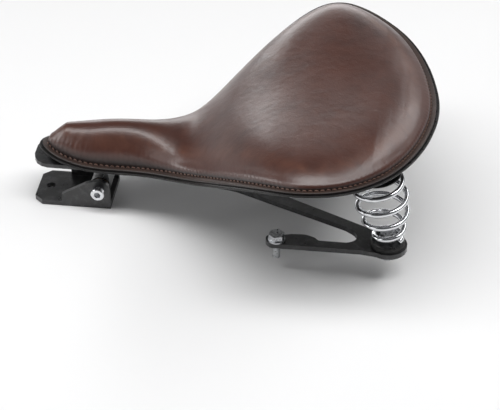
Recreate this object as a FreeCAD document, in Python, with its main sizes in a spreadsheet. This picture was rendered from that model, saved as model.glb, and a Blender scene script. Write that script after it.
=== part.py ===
import FreeCAD, Part
import math
import os
import Sketcher

# Sprung solo motorcycle seat: leather seat on a pan, pivoted on a front bracket
# and carried at the rear by two conical springs on a base plate.
# +X runs from the nose to the tail, +Y to the rider's right as they face -X,
# +Z is up. The origin is the centre of the front bracket's two frame bolts, on
# the bracket's underside. "near" pieces lie on the -Y side, "far" on +Y. Millimetres.

V = FreeCAD.Vector
doc = FreeCAD.newDocument("solo_seat")
sheet = doc.addObject("Spreadsheet::Sheet", "Dims")
doc.recompute()

# ---------------------------------------------------------------- dimensions
DIMS = [
    # pivot and front bracket
    ("pivot_x", 33.0), ("pivot_z", 21.5), ("pivot_hole_rad", 4.25),
    ("bracket_front_x", -32.0), ("bracket_back_x", 43.5), ("bracket_thick", 5.0),
    ("bracket_half_width", 25.0), ("bracket_corner_x", 8.0),
    ("ear_thick", 4.5), ("ear_rad", 10.0), ("ear_front_x", -4.0), ("ear_front_z", 13.0),
    ("frame_hole_rad", 4.25), ("frame_hole_pitch", 40.0),
    # strap with the rolled eye
    ("strap_front_x", -32.0), ("strap_half_width", 24.0), ("strap_thick", 4.0),
    ("strap_top_z", 46.5), ("eye_out_rad", 10.0), ("eye_bore_rad", 6.5),
    ("eye_half_width", 18.8), ("strap_neck_x", 14.0), ("strap_neck_len", 7.0),
    ("stud_a_x", -9.5), ("stud_b_x", 9.5), ("stud_rad", 3.9), ("stud_end_z", 32.0),
    ("stud_hole_rad", 4.3), ("spacer_out_rad", 8.0),
    # bushings, pivot bolt and common fasteners
    ("bush_flange_rad", 9.0), ("bush_flange_thick", 1.5), ("bush_bore_rad", 4.03),
    ("bush_inner_y", 0.5), ("bolt_rad", 3.98), ("bolt_head_rad", 6.5),
    ("bolt_head_len", 8.0), ("bolt_head_chamfer", 0.8), ("bolt_socket_af", 6.0),
    ("bolt_socket_deep", 4.5), ("bolt_end_y", 38.0), ("hex_head_len", 5.3),
    ("washer_rad", 8.0), ("washer_thick", 1.6), ("nut_af", 13.0), ("nut_len", 6.5),
    ("nut_bore_gap", 0.05), ("lock_nut_len", 8.0), ("pivot_washer_rad", 6.35),
    # rear base plate
    ("plate_top_z", 30.0), ("plate_thick", 5.0),
    ("pad_x", 313.6), ("pad_y", 88.0), ("pad_rad", 18.0),
    ("tab_x", 142.0), ("tab_half_width", 14.0), ("tab_hole_x", 156.0),
    ("rail_in_y", 84.0), ("rail_mid_y", 91.0), ("rail_out_y", 101.0),
    ("lobe_front_x", 202.0), ("lobe_back_x", 250.0), ("rail_bolt_x", 212.0),
    ("rail_bolt_y", 94.0), ("rail_thread_rad", 3.6), ("rail_thread_len", 14.0),
    # springs and their ends
    ("wire_rad", 2.5), ("spring_low_rad", 12.4), ("spring_high_rad", 20.0),
    ("spring_low_z", 38.6), ("spring_high_z", 103.2), ("spring_shift_x", -12.0),
    ("spring_tilt_deg", 7.5), ("spring_first_turn", -0.85), ("spring_last_turn", 3.95),
    ("coil_ref_z", 44.86), ("coil_pitch", 16.93), ("coil_ref_rad", 14.22),
    ("coil_rad_grow", 7.77), ("coil_rad_fall", -1.72),
    ("isolator_rad", 15.8), ("isolator_thick", 4.9), ("cup_thick", 1.2),
    ("cup_bulge", 0.5), ("low_cup_rad", 15.0), ("high_cup_rad", 21.0),
    ("top_bolt_hole_rad", 4.6), ("top_plate_thick", 3.0),
    ("rivet_rad", 2.5), ("rivet_hole_rad", 2.6), ("rivet_head_rad", 4.4),
    # seat layers
    ("nose_x", -28.0), ("nose_z", 58.0),
    ("dish_curve", 0.00095), ("leather_thick", 2.0), ("pan_thick", 2.0),
    ("flange_step", 3.0), ("seam_inset", 8.5), ("pan_inset", 12.0),
    ("foam_inset", 12.0), ("cover_thick", 2.0),
    ("shoulder_front", 22.0), ("shoulder_rear", 46.0), ("crown_power", 1.8),
    ("thread_rad", 0.6),
]

# Each table has two columns: x back from the seat's nose, and a value there.
TABLES = {
    # half width of the seat's plan outline
    "outline": [
        (0, 0), (2, 7.4), (5, 11.7), (10, 16.6), (20, 23.2), (40, 30.4), (60, 32.7),
        (80, 33.3), (100, 35.7), (120, 43.3), (140, 56.9), (160, 75.9), (180, 97.8),
        (200, 119), (220, 138.2), (240, 154.6), (260, 165.6), (280, 167.3),
        (300, 160.4), (320, 146.8), (340, 126.0), (350, 111.3), (360, 91.8),
        (370, 64.2), (375, 43.9), (378.7, 22.4), (380, 0)],
    # height of the flange sheet on the centre line, over the nose
    "centre": [
        (-20, 2.6), (0, 0), (20, -4.0), (40, -6.9), (60, -8.6), (80, -8.8),
        (100, -7.4), (120, -3.9), (140, 2.2), (160, 11.3), (180, 22.4), (200, 32.6),
        (220, 40.7), (240, 46.6), (260, 50.0), (280, 51.7), (300, 52.4), (320, 53.8),
        (340, 56.8), (360, 61.0), (380, 65.4), (400, 70.0)],
    # full height of the cushion over the flange sheet
    "crown": [
        (-20, 11.5), (0, 15.0), (20, 21.5), (50, 31.5), (70, 34.5), (90, 34.5),
        (110, 31.0), (130, 26.5), (150, 25.5), (170, 28.0), (190, 32.0), (210, 35.5),
        (230, 36.0), (250, 33.5), (300, 25.0), (380, 18.0), (400, 18.0)],
}

for row, (name, value) in enumerate(DIMS, 1):
    sheet.set("A%d" % row, name.replace("_", " "))
    sheet.set("B%d" % row, repr(value))
    sheet.setAlias("B%d" % row, name)
row = len(DIMS) + 2
for tag, stations in TABLES.items():
    for k, (station_x, value) in enumerate(stations):
        row += 1
        sheet.set("A%d" % row, "%s station %d" % (tag, k))
        sheet.set("B%d" % row, repr(float(station_x)))
        sheet.setAlias("B%d" % row, "%s_x_%d" % (tag, k))
        sheet.set("C%d" % row, repr(float(value)))
        sheet.setAlias("C%d" % row, "%s_v_%d" % (tag, k))
doc.recompute()


def num(name):
    """A sheet value as a plain number."""
    return float(getattr(sheet, name))


class Dim:
    """A number together with the sheet expression that gives it."""

    def __init__(self, value, text):
        self.value, self.text = value, text

    def __add__(self, other):
        other = as_dim(other)
        return Dim(self.value + other.value, "(%s + %s)" % (self.text, other.text))

    def __sub__(self, other):
        other = as_dim(other)
        return Dim(self.value - other.value, "(%s - %s)" % (self.text, other.text))

    def __mul__(self, other):
        other = as_dim(other)
        return Dim(self.value * other.value, "(%s * %s)" % (self.text, other.text))

    def __neg__(self):
        return Dim(-self.value, "(0 - %s)" % self.text)


def as_dim(value):
    if isinstance(value, Dim):
        return value
    value = float(value)
    return Dim(value, repr(value) if value >= 0 else "(0 - %r)" % -value)


def dim(name):
    """A sheet value that carries its expression."""
    return Dim(num(name), "Dims." + name)


def station_table(tag):
    return [(num("%s_x_%d" % (tag, k)), num("%s_v_%d" % (tag, k)))
            for k in range(len(TABLES[tag]))]


# --------------------------------------------------------- parametric helpers
def new_body(label):
    body = doc.addObject("PartDesign::Body", label + "_body")
    body.Label = label
    body.AllowCompound = True
    return body


def origin_item(body, role):
    return [item for item in body.Origin.OriginFeatures if item.Role == role][0]


def bind(obj, path, size):
    obj.setExpression(path, size.text)


def fix_point(sketch, geo, pos, x, y):
    """Ties a point of the sketch to its place from the sketch origin."""
    for kind, size in (("DistanceX", as_dim(x)), ("DistanceY", as_dim(y))):
        k = sketch.addConstraint(Sketcher.Constraint(kind, -1, 1, geo, pos, size.value))
        bind(sketch, "Constraints[%d]" % k, size)


def draw_polygon(sketch, points):
    points = [(as_dim(x), as_dim(y)) for x, y in points]
    count = len(points)
    for i, (x, y) in enumerate(points):
        next_x, next_y = points[(i + 1) % count]
        start, end = V(x.value, y.value, 0), V(next_x.value, next_y.value, 0)
        sketch.addGeometry(Part.LineSegment(start, end), False)
    for i in range(count):
        sketch.addConstraint(Sketcher.Constraint("Coincident", i, 2, (i + 1) % count, 1))
    for i, (x, y) in enumerate(points):
        fix_point(sketch, i, 1, x, y)


def draw_circle(sketch, x, y, radius):
    x, y, radius = as_dim(x), as_dim(y), as_dim(radius)
    circle = Part.Circle(V(x.value, y.value, 0), V(0, 0, 1), radius.value)
    geo = sketch.addGeometry(circle, False)
    fix_point(sketch, geo, 3, x, y)
    k = sketch.addConstraint(Sketcher.Constraint("Radius", geo, radius.value))
    bind(sketch, "Constraints[%d]" % k, radius)


def new_sketch(body, name, role, polygon=(), circles=(), offset=None):
    """A sketch on an origin plane. A positive offset goes +Z from XY, -Y from XZ."""
    sketch = body.newObject("Sketcher::SketchObject", name)
    sketch.AttachmentSupport = [(origin_item(body, role), "")]
    sketch.MapMode = "FlatFace"
    if offset is not None:
        offset = as_dim(offset)
        sketch.AttachmentOffset = FreeCAD.Placement(V(0, 0, offset.value), FreeCAD.Rotation())
        bind(sketch, "AttachmentOffset.Base.z", offset)
    if polygon:
        draw_polygon(sketch, polygon)
    for x, y, radius in circles:
        draw_circle(sketch, x, y, radius)
    return sketch


def extrude_sketch(body, kind, name, sketch, length, both):
    step = body.newObject(kind, name)
    step.Profile = sketch
    length = as_dim(length)
    step.Length = length.value
    bind(step, "Length", length)
    if both:
        step.SideType = "Symmetric"
    return step


def pad(body, name, role, length, polygon=(), circles=(), offset=None, both=False):
    """Pads along the plane's normal: +Z from XY, -Y from XZ."""
    sketch = new_sketch(body, name, role, polygon, circles, offset)
    step = extrude_sketch(body, "PartDesign::Pad", name + "_pad", sketch, length, both)
    doc.recompute()
    return step


def pocket(body, name, role, length, polygon=(), circles=(), offset=None,
           both=False, along_normal=False):
    """Cuts against the plane's normal, unless told otherwise."""
    before = body.Shape.Volume
    sketch = new_sketch(body, name, role, polygon, circles, offset)
    step = extrude_sketch(body, "PartDesign::Pocket", name + "_cut", sketch, length, both)
    step.Reversed = along_normal
    doc.recompute()
    if not body.Shape.Volume < before - 1e-3:
        raise RuntimeError("pocket %s removed nothing" % name)


def place_at(obj, x, y, z):
    x, y, z = as_dim(x), as_dim(y), as_dim(z)
    obj.Placement = FreeCAD.Placement(V(x.value, y.value, z.value), FreeCAD.Rotation())
    for axis, size in (("x", x), ("y", y), ("z", z)):
        bind(obj, "Placement.Base." + axis, size)


def revolved_body(name, section, x, y, z):
    """A body turned about its own Z axis from (radius, height) points."""
    body = new_body(name)
    sketch = new_sketch(body, name + "_section", "XZ_Plane", section)
    step = body.newObject("PartDesign::Revolution", name + "_rev")
    step.Profile = sketch
    step.ReferenceAxis = (origin_item(body, "Z_Axis"), [""])
    step.Angle = 360
    doc.recompute()
    place_at(body, x, y, z)
    return body


def cylinder(name, radius, height, x, y, z):
    obj = doc.addObject("Part::Cylinder", name)
    radius, height = as_dim(radius), as_dim(height)
    obj.Radius = radius.value
    obj.Height = height.value
    place_at(obj, x, y, z)
    bind(obj, "Radius", radius)
    bind(obj, "Height", height)
    return obj


def washer(name, hole_rad, x, y, z):
    """A flat washer whose underside is at z."""
    ring = doc.addObject("Part::Cut", name)
    ring.Base = cylinder(name + "_outer", dim("washer_rad"), WASHER_THICK, x, y, z)
    ring.Tool = cylinder(name + "_hole", hole_rad, WASHER_THICK + 2, x, y, z - 1)
    return ring


def group(name, objects):
    compound = doc.addObject("Part::Compound", name)
    compound.Links = objects
    return compound


def both_sides(label, source):
    """The piece and its mirror image across the seat's centre plane."""
    mirror = doc.addObject("Part::Mirroring", label + "_mirror")
    mirror.Source = source
    mirror.Normal = V(0, 1, 0)
    mirror.Base = V(0, 0, 0)
    node(label, group(label + "_pair", [source, mirror]))


def unit_hexagon(turn):
    """Corners of a hexagon that is 1 across its flats."""
    corner_rad = 0.5 / math.cos(math.radians(30))
    angles = [math.radians(60 * k + turn) for k in range(6)]
    return [(corner_rad * math.cos(angle), corner_rad * math.sin(angle)) for angle in angles]


def hexagon(x, y, across, turn=0.0):
    return [(x + across * u, y + across * v) for u, v in unit_hexagon(turn)]


def shifted(x, y, table):
    """The table's points, moved by x and y."""
    return [(x + dx, y + dy) for dx, dy in table]


NODES = {}


def node(label, obj):
    """Registers a finished piece."""
    obj.Label = label
    NODES[label] = obj


def shape_node(label, shape):
    obj = doc.addObject("Part::Feature", label + "_shape")
    obj.Shape = shape
    obj.Placement = FreeCAD.Placement()
    node(label, obj)


# ------------------------------------------------------- seat sheet geometry
NOSE_X, NOSE_Z = num("nose_x"), num("nose_z")
DISH = num("dish_curve")
SEAM_INSET = num("seam_inset")
COVER = num("cover_thick")
CROWN_POWER = num("crown_power")
SHOULDER_FRONT, SHOULDER_REAR = num("shoulder_front"), num("shoulder_rear")
# the shoulder's width changes between these distances behind the nose
SHOULDER_START, SHOULDER_CHANGE = 90.0, 110.0
CROWN_FOOT = 1.2            # height of the crown surface at the seam
FINE_ZONE = 34.0            # inset outlines take closer points this near the nose


def smooth_table(stations):
    """Smooth interpolation through a table of stations."""
    xs = [x for x, y in stations]
    ys = [y for x, y in stations]
    count = len(xs)
    chord = [(ys[i + 1] - ys[i]) / (xs[i + 1] - xs[i]) for i in range(count - 1)]
    slope = [chord[0]]
    for i in range(1, count - 1):
        before, after = xs[i] - xs[i - 1], xs[i + 1] - xs[i]
        slope.append((chord[i - 1] * after + chord[i] * before) / (before + after))
    slope.append(chord[-1])

    def value_at(x):
        x = min(max(x, xs[0]), xs[-1])
        i = 0
        while i < count - 2 and x > xs[i + 1]:
            i += 1
        step = xs[i + 1] - xs[i]
        t = (x - xs[i]) / step
        return ((2 * t ** 3 - 3 * t * t + 1) * ys[i]
                + (t ** 3 - 2 * t * t + t) * step * slope[i]
                + (-2 * t ** 3 + 3 * t * t) * ys[i + 1]
                + (t ** 3 - t * t) * step * slope[i + 1])
    return value_at


centre_line = smooth_table(station_table("centre"))
crown_line = smooth_table(station_table("crown"))


def sheet_z(x, y):
    """Top of the flange sheet: a centre line with the same dish everywhere."""
    return NOSE_Z + centre_line(x - NOSE_X) + DISH * y * y


def closed_curve(points):
    knots = [0.0]
    for i, point in enumerate(points):
        knots.append(knots[-1] + (points[(i + 1) % len(points)] - point).Length ** 0.75)
    curve = Part.BSplineCurve()
    curve.interpolate(Points=points, PeriodicFlag=True, Parameters=knots)
    return curve


half_outline = station_table("outline")
outline = closed_curve([V(NOSE_X + x, y, 0) for x, y in half_outline]
                       + [V(NOSE_X + x, -y, 0) for x, y in half_outline[-2:0:-1]])
OUTLINE_POINTS = outline.discretize(Number=700)


def inset_points(inset, fine=2.6, coarse=11.0):
    """Points of the outline moved inwards, closer together at the nose."""
    first, last = outline.FirstParameter, outline.LastParameter
    steps = 2000
    points, run, needed = [], 0.0, 0.0
    previous = outline.value(first)
    for i in range(steps):
        t = first + (last - first) * i / steps
        point = outline.value(t)
        run += (point - previous).Length
        previous = point
        if run < needed:
            continue
        run = 0.0
        needed = fine if point.x < NOSE_X + FINE_ZONE else coarse
        # the outline runs from the nose along +Y, so inwards is to its right
        tangent = outline.tangent(t)[0]
        moved = V(point.x + tangent.y * inset, point.y - tangent.x * inset, 0)
        # a point that falls nearer to another part of the outline is dropped
        if min((moved - other).Length for other in OUTLINE_POINTS) < inset - 0.12:
            continue
        if points and (moved - points[-1]).Length < 1.5:
            continue
        points.append(moved)
    if (points[-1] - points[0]).Length < 1.2:
        points.pop()
    return points


def prism(inset):
    """Upright block inside the plan outline, inset all round."""
    curve = outline if inset == 0 else closed_curve(inset_points(inset))
    face = Part.Face(Part.Wire([curve.toShape()]))
    face.translate(V(0, 0, -40.0))
    return face.extrude(V(0, 0, 330.0))


def grid_face(height, count_x, count_y):
    """A smooth face through height(x, y) on a grid larger than the seat."""
    x0, x1 = NOSE_X - 12.0, NOSE_X + 392.0
    y0, y1 = -178.0, 178.0
    rows = []
    for i in range(count_x):
        x = x0 + (x1 - x0) * i / (count_x - 1)
        ys = [y0 + (y1 - y0) * j / (count_y - 1) for j in range(count_y)]
        rows.append([V(x, y, height(x, y)) for y in ys])
    surface = Part.BSplineSurface()
    surface.interpolate(rows)
    return surface.toShape()


flange_face = grid_face(sheet_z, 34, 12)


def sheet_at(level):
    """The flange sheet moved up to a level."""
    face = flange_face.copy()
    face.translate(V(0, 0, level))
    return face


def slab(top, bottom):
    """The space between two copies of the flange sheet."""
    return sheet_at(top).extrude(V(0, 0, bottom - top))


def below(top):
    return sheet_at(top).extrude(V(0, 0, -220.0))


def above(bottom):
    return sheet_at(bottom).extrude(V(0, 0, 220.0))


def under(face):
    return face.extrude(V(0, 0, -260))


def seam_segments():
    """Start, run and squared length of each piece of the seam polygon."""
    points = inset_points(SEAM_INSET, 3.0, 6.0)
    segments = []
    for i, start in enumerate(points):
        end = points[(i + 1) % len(points)]
        dx, dy = end.x - start.x, end.y - start.y
        segments.append((start.x, start.y, dx, dy, dx * dx + dy * dy))
    return segments


SEAM = seam_segments()
seam_distances = {}


def seam_distance(x, y):
    """Distance to the seam, positive inside it; kept for the second surface."""
    key = (round(x, 4), round(y, 4))
    if key in seam_distances:
        return seam_distances[key]
    nearest = 1e9
    inside = False
    for start_x, start_y, dx, dy, length_squared in SEAM:
        from_x, from_y = x - start_x, y - start_y
        t = (from_x * dx + from_y * dy) / length_squared
        t = min(max(t, 0.0), 1.0)
        off_x, off_y = from_x - t * dx, from_y - t * dy
        nearest = min(nearest, off_x * off_x + off_y * off_y)
        if (start_y > y) != (start_y + dy > y) and x < start_x + dx * (y - start_y) / dy:
            inside = not inside
    distance = math.sqrt(nearest)
    seam_distances[key] = distance if inside else -distance
    return seam_distances[key]


def crown_z(x, y, skin=0.0):
    """Top of the cushion; skin moves the surface inwards."""
    blend = min(max((x - NOSE_X - SHOULDER_START) / SHOULDER_CHANGE, 0.0), 1.0)
    shoulder = SHOULDER_FRONT * (1 - blend) + SHOULDER_REAR * blend - skin
    height = crown_line(x - NOSE_X) - skin
    t = max(min((seam_distance(x, y) - skin) / shoulder, 1.0), -0.30)
    rise = 1 - (1 - t) ** CROWN_POWER if t >= 0 else CROWN_POWER * t
    return sheet_z(x, y) + CROWN_FOOT + (height - CROWN_FOOT) * rise


crown_face = grid_face(crown_z, 36, 32)
inner_face = grid_face(lambda x, y: crown_z(x, y, COVER), 36, 32)

# Levels of the layers, measured from the top of the flange leather
FLANGE_TOP = 0.0
FLANGE_UNDER = -num("leather_thick")
BASE_TOP = FLANGE_UNDER - 0.2
BASE_UNDER = BASE_TOP - num("leather_thick")
PAN_TOP = -0.15
PAN_UNDER = PAN_TOP - num("pan_thick") + 0.05
TOP_PLATE_TOP = BASE_UNDER - 0.1
TOP_PLATE_UNDER = TOP_PLATE_TOP - num("top_plate_thick")

# ------------------------------------------------------- shared sizes and holes
PIVOT_X, PIVOT_Z = dim("pivot_x"), dim("pivot_z")
BRACKET_HALF = dim("bracket_half_width")
STUD_XS = ("stud_a_x", "stud_b_x")
STUD_HOLE_RAD = dim("stud_hole_rad")
BOLT_RAD = dim("bolt_rad")
BOLT_HOLE_RAD = dim("pivot_hole_rad")
FRAME_HOLE_RAD = dim("frame_hole_rad")
WASHER_THICK = dim("washer_thick")
NUT_ACROSS, NUT_LEN = dim("nut_af"), dim("nut_len")
NUT_GAP = dim("nut_bore_gap")
HEX_HEAD_LEN = dim("hex_head_len")
STRAP_TOP = dim("strap_top_z")
STRAP_UNDER = STRAP_TOP - dim("strap_thick")
PLATE_TOP, PLATE_THICK = dim("plate_top_z"), dim("plate_thick")
PLATE_UNDER = PLATE_TOP - PLATE_THICK
PAD_X, PAD_Y = dim("pad_x"), dim("pad_y")
SPRING_HEX_TURN = 10.0      # degrees, heads and nuts of the spring bolts
PIVOT_HEX_TURN = 15.0       # degrees, socket and lock nut of the pivot bolt

# upper end of the near spring: its axis leans forwards with the pan
SPRING_TOP_X = num("pad_x") + num("spring_shift_x")
TOP_PLACE = FreeCAD.Placement(V(SPRING_TOP_X, -num("pad_y"), num("spring_high_z")),
                              FreeCAD.Rotation(V(0, 1, 0), -num("spring_tilt_deg")))


def mirrored(shape):
    return shape.mirror(V(0, 0, 0), V(0, 1, 0))


def mirrored_pair(label, shape):
    shape_node(label, Part.makeCompound([shape, mirrored(shape)]))


def largest(shape):
    return max(shape.Solids, key=lambda solid: solid.Volume)


def top_cylinder(radius, z0, z1):
    """A cylinder on the leaning axis of the near spring's upper end."""
    shape = Part.makeCylinder(radius, z1 - z0, V(0, 0, z0))
    shape.Placement = TOP_PLACE.multiply(shape.Placement)
    return shape


stud_holes = [Part.makeCylinder(STUD_HOLE_RAD.value, 80, V(num(name), 0, 10))
              for name in STUD_XS]
top_bolt_hole = top_cylinder(num("top_bolt_hole_rad"), -20, 40)
top_bolt_holes = [top_bolt_hole, mirrored(top_bolt_hole)]

# rivets of the upper spring plates, as offsets from the plate's reference point
TOP_PLATE_X = SPRING_TOP_X - 5.0
TOP_PLATE_Y = num("pad_y") - 6.0
RIVET_OFFSETS = [(-20.0, -14.5), (-20.0, 14.5), (18.0, -14.5)]
RIVETS = [(TOP_PLATE_X + dx, side * (TOP_PLATE_Y + dy))
          for side in (-1, 1) for dx, dy in RIVET_OFFSETS]
rivet_holes = [Part.makeCylinder(num("rivet_hole_rad"), 90, V(x, y, 70)) for x, y in RIVETS]


# ------------------------------------------------------ leather, pan and foam
def build_base_leather():
    leather = slab(BASE_TOP, BASE_UNDER).common(prism(0))
    shape_node("base_leather", leather.cut(stud_holes + top_bolt_holes + rivet_holes))


# lightening and glue holes of the pan: x behind the nose, y, radius
PAN_HOLES = [(150, 0, 9), (195, 0, 13), (250, 0, 16), (250, 60, 13), (250, -60, 13),
             (305, 30, 9), (305, -30, 9)]


def build_seat_pan():
    pan = slab(PAN_TOP, PAN_UNDER).common(prism(num("pan_inset") + 0.3))
    holes = [Part.makeCylinder(radius, 200, V(NOSE_X + x, y, 0)) for x, y, radius in PAN_HOLES]
    shape_node("seat_pan", pan.cut(top_bolt_holes + rivet_holes + holes))


def build_cushion_cover():
    """A moulded shell whose hem stands in the flange ring."""
    cover = prism(SEAM_INSET).common(under(crown_face)).common(above(FLANGE_UNDER))
    hollow = prism(SEAM_INSET + COVER).common(under(inner_face))
    shape_node("cushion_cover", largest(cover.cut(hollow)))


def build_flange_leather():
    ring = slab(FLANGE_TOP, FLANGE_UNDER).common(prism(num("flange_step")))
    shape_node("flange_leather", ring.cut(prism(SEAM_INSET - 0.1)))


def build_foam_pad():
    foam_face = inner_face.copy()
    foam_face.translate(V(0, 0, -0.25))
    block = prism(num("foam_inset") + 0.6)
    foam = largest(block.common(under(foam_face)).common(above(0.0)))
    # room for the nuts of the spring bolts and for the rivet heads
    room = top_cylinder(9.0, -10, 22)
    hollows = [room, mirrored(room)]
    for x, y in RIVETS:
        hollows.append(Part.makeCylinder(5.2, 90, V(x, y, sheet_z(x, y) - 87.0)))
    shape_node("foam_pad", foam.cut(hollows))


def build_seam_thread():
    """One closed line of waxed thread, lying on the flange along the seam."""
    width = 2 * num("thread_rad")
    lift_off, seam_gap = 0.05, 0.2
    thread = slab(width + lift_off, lift_off).common(prism(SEAM_INSET - width - seam_gap))
    shape_node("seam_thread", thread.cut(prism(SEAM_INSET - seam_gap)))


# ------------------------------------------------------------ strap and studs
# Side profile of the strap, as (x, z) offsets in order round the profile
STRAP_UPPER = [      # upper side, from the pivot's x and the strap's top
    (-20.0, 0.0), (-15.0, -0.5), (-11.0, -0.92), (-5.0, -1.32), (-1.5, -1.52),
    (1.2, -1.95), (3.6, -2.9), (5.8, -4.6), (7.3, -6.8), (8.2, -9.4)]
STRAP_EYE = [        # where it meets the eye, from the pivot
    (9.2, 8.0), (9.95, 0.0), (-4.0, 0.0), (-4.0, 7.0), (2.6, 9.7), (4.5, 12.4), (4.6, 15.2)]
STRAP_LOWER = [      # lower side, from the pivot's x and the strap's underside
    (3.9, -4.4), (2.6, -2.9), (0.6, -1.9), (-2.0, -1.45), (-5.0, -1.3),
    (-10.0, -0.8), (-14.5, 0.0)]
# rounded front corners: x behind the front end, share of the half width
STRAP_NOSE = [(-4.0, 0.30), (0.0, 0.30), (1.6, 0.54), (4.6, 0.76), (9.6, 0.92), (16.0, 1.0)]


def build_front_strap():
    """The strap runs flat, bends down and rolls round the eye."""
    body = new_body("front_strap")
    front = dim("strap_front_x")
    half_width = dim("strap_half_width")
    neck = dim("strap_neck_x")
    profile = ([(front, STRAP_UNDER), (front, STRAP_TOP)]
               + shifted(PIVOT_X, STRAP_TOP, STRAP_UPPER)
               + shifted(PIVOT_X, PIVOT_Z, STRAP_EYE)
               + shifted(PIVOT_X, STRAP_UNDER, STRAP_LOWER))
    pad(body, "strap", "XZ_Plane", half_width * 2, profile, both=True)
    pad(body, "eye", "XZ_Plane", dim("eye_half_width") * 2,
        circles=[(PIVOT_X, PIVOT_Z, dim("eye_out_rad"))], both=True)
    pocket(body, "eye_bore", "XZ_Plane", half_width * 3,
           circles=[(PIVOT_X, PIVOT_Z, dim("eye_bore_rad"))], both=True)
    through = STRAP_TOP * 2 + 20
    # the sides narrow towards the eye
    for name, side in (("side_near", -1), ("side_far", 1)):
        strap_y, eye_y = half_width * side, dim("eye_half_width") * side
        beyond = strap_y + 3.0 * side
        waste = [(neck, beyond), (neck, strap_y), (neck + dim("strap_neck_len"), eye_y),
                 (PIVOT_X + 30.0, eye_y), (PIVOT_X + 30.0, beyond)]
        pocket(body, name, "XY_Plane", through, waste, along_normal=True)
    for name, side in (("nose_near", -1), ("nose_far", 1)):
        strap_y = half_width * side
        beyond = strap_y + 4.0 * side
        waste = [(front + dx, strap_y * share) for dx, share in STRAP_NOSE]
        waste += [(front + 16.0, beyond), (front - 4.0, beyond)]
        pocket(body, name, "XY_Plane", through, waste, along_normal=True)
    pocket(body, "stud_holes", "XY_Plane", through,
           circles=[(dim(name), 0, STUD_HOLE_RAD) for name in STUD_XS], along_normal=True)
    node("front_strap", body)


def build_studs_and_spacers():
    """Studs hang from the pan; spacers fill the gap between leather and strap."""
    strap_top = num("strap_top_z")
    studs, spacers = [], []
    for name in STUD_XS:
        x = num(name)
        stud = Part.makeCylinder(num("stud_rad"), 60, V(x, 0, num("stud_end_z")))
        studs.append(stud.common(below(PAN_UNDER + 0.5)))
        tube = Part.makeCylinder(num("spacer_out_rad"), 40, V(x, 0, strap_top))
        tube = tube.cut(Part.makeCylinder(STUD_HOLE_RAD.value, 60, V(x, 0, strap_top - 5)))
        spacers.append(tube.common(below(BASE_UNDER - 0.02)))
    shape_node("pan_studs", Part.makeCompound(studs))
    shape_node("strap_spacers", Part.makeCompound(spacers))


def build_stud_washers_and_nuts():
    washer_z = STRAP_UNDER - WASHER_THICK
    washers = [washer("stud_washer_%d" % k, STUD_HOLE_RAD, dim(name), 0, washer_z)
               for k, name in enumerate(STUD_XS)]
    node("stud_washers", group("stud_washers_pair", washers))
    body = new_body("stud_nuts")
    for name, stud in zip(("nut_a", "nut_b"), STUD_XS):
        x, y = dim(stud), as_dim(0)
        pad(body, name, "XY_Plane", NUT_LEN, hexagon(x, y, NUT_ACROSS),
            [(x, y, dim("stud_rad") + NUT_GAP)], washer_z - NUT_LEN)
    node("stud_nuts", body)


# ---------------------------------------------------------- pivot and bracket
def pivot_circle(radius):
    return (PIVOT_X, PIVOT_Z, radius)


def build_pivot_bushings():
    body = new_body("pivot_bushing_near")
    inner_y, eye_y = dim("bush_inner_y"), dim("eye_half_width")
    bore = pivot_circle(dim("bush_bore_rad"))
    flange = dim("bush_flange_thick")
    pad(body, "bush_tube", "XZ_Plane", eye_y + flange - inner_y,
        circles=[pivot_circle(dim("eye_bore_rad")), bore], offset=inner_y)
    pad(body, "bush_flange", "XZ_Plane", flange,
        circles=[pivot_circle(dim("bush_flange_rad")), bore], offset=eye_y)
    both_sides("pivot_bushings", body)


def build_front_bracket():
    """A foot with two upright ears that carry the pivot bolt."""
    body = new_body("front_bracket")
    front, back, foot = dim("bracket_front_x"), dim("bracket_back_x"), dim("bracket_thick")
    corner = front + dim("bracket_corner_x")
    pad(body, "foot", "XY_Plane", foot,
        [(front, BRACKET_HALF * -0.7), (corner, -BRACKET_HALF), (back, -BRACKET_HALF),
         (back, BRACKET_HALF), (corner, BRACKET_HALF), (front, BRACKET_HALF * 0.7)])
    radius, ear_front = dim("ear_rad"), dim("ear_front_x")
    slant = math.cos(math.radians(45))
    ear = [(ear_front, foot - 1), (ear_front, dim("ear_front_z")),
           (PIVOT_X - radius * slant - 6, PIVOT_Z + radius * slant - 1.5)]
    for degrees in (112.5, 90, 67.5, 45, 22.5, 0):
        angle = math.radians(degrees)
        ear.append((PIVOT_X + radius * math.cos(angle), PIVOT_Z + radius * math.sin(angle)))
    ear.append((back, foot - 1))
    ear_thick = dim("ear_thick")
    for name, offset in (("ear_far", -BRACKET_HALF), ("ear_near", BRACKET_HALF - ear_thick)):
        pad(body, name, "XZ_Plane", ear_thick, ear, offset=offset)
    pocket(body, "pivot_hole", "XZ_Plane", BRACKET_HALF * 4,
           circles=[pivot_circle(BOLT_HOLE_RAD)], both=True)
    pitch = dim("frame_hole_pitch")
    pocket(body, "foot_holes", "XY_Plane", foot * 4,
           circles=[(pitch * share, 0, FRAME_HOLE_RAD) for share in (-0.5, 0.5)],
           along_normal=True)
    node("front_bracket", body)


# distance from the centre plane to the outer face of a pivot washer
WASHER_FACE = BRACKET_HALF + WASHER_THICK


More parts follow.
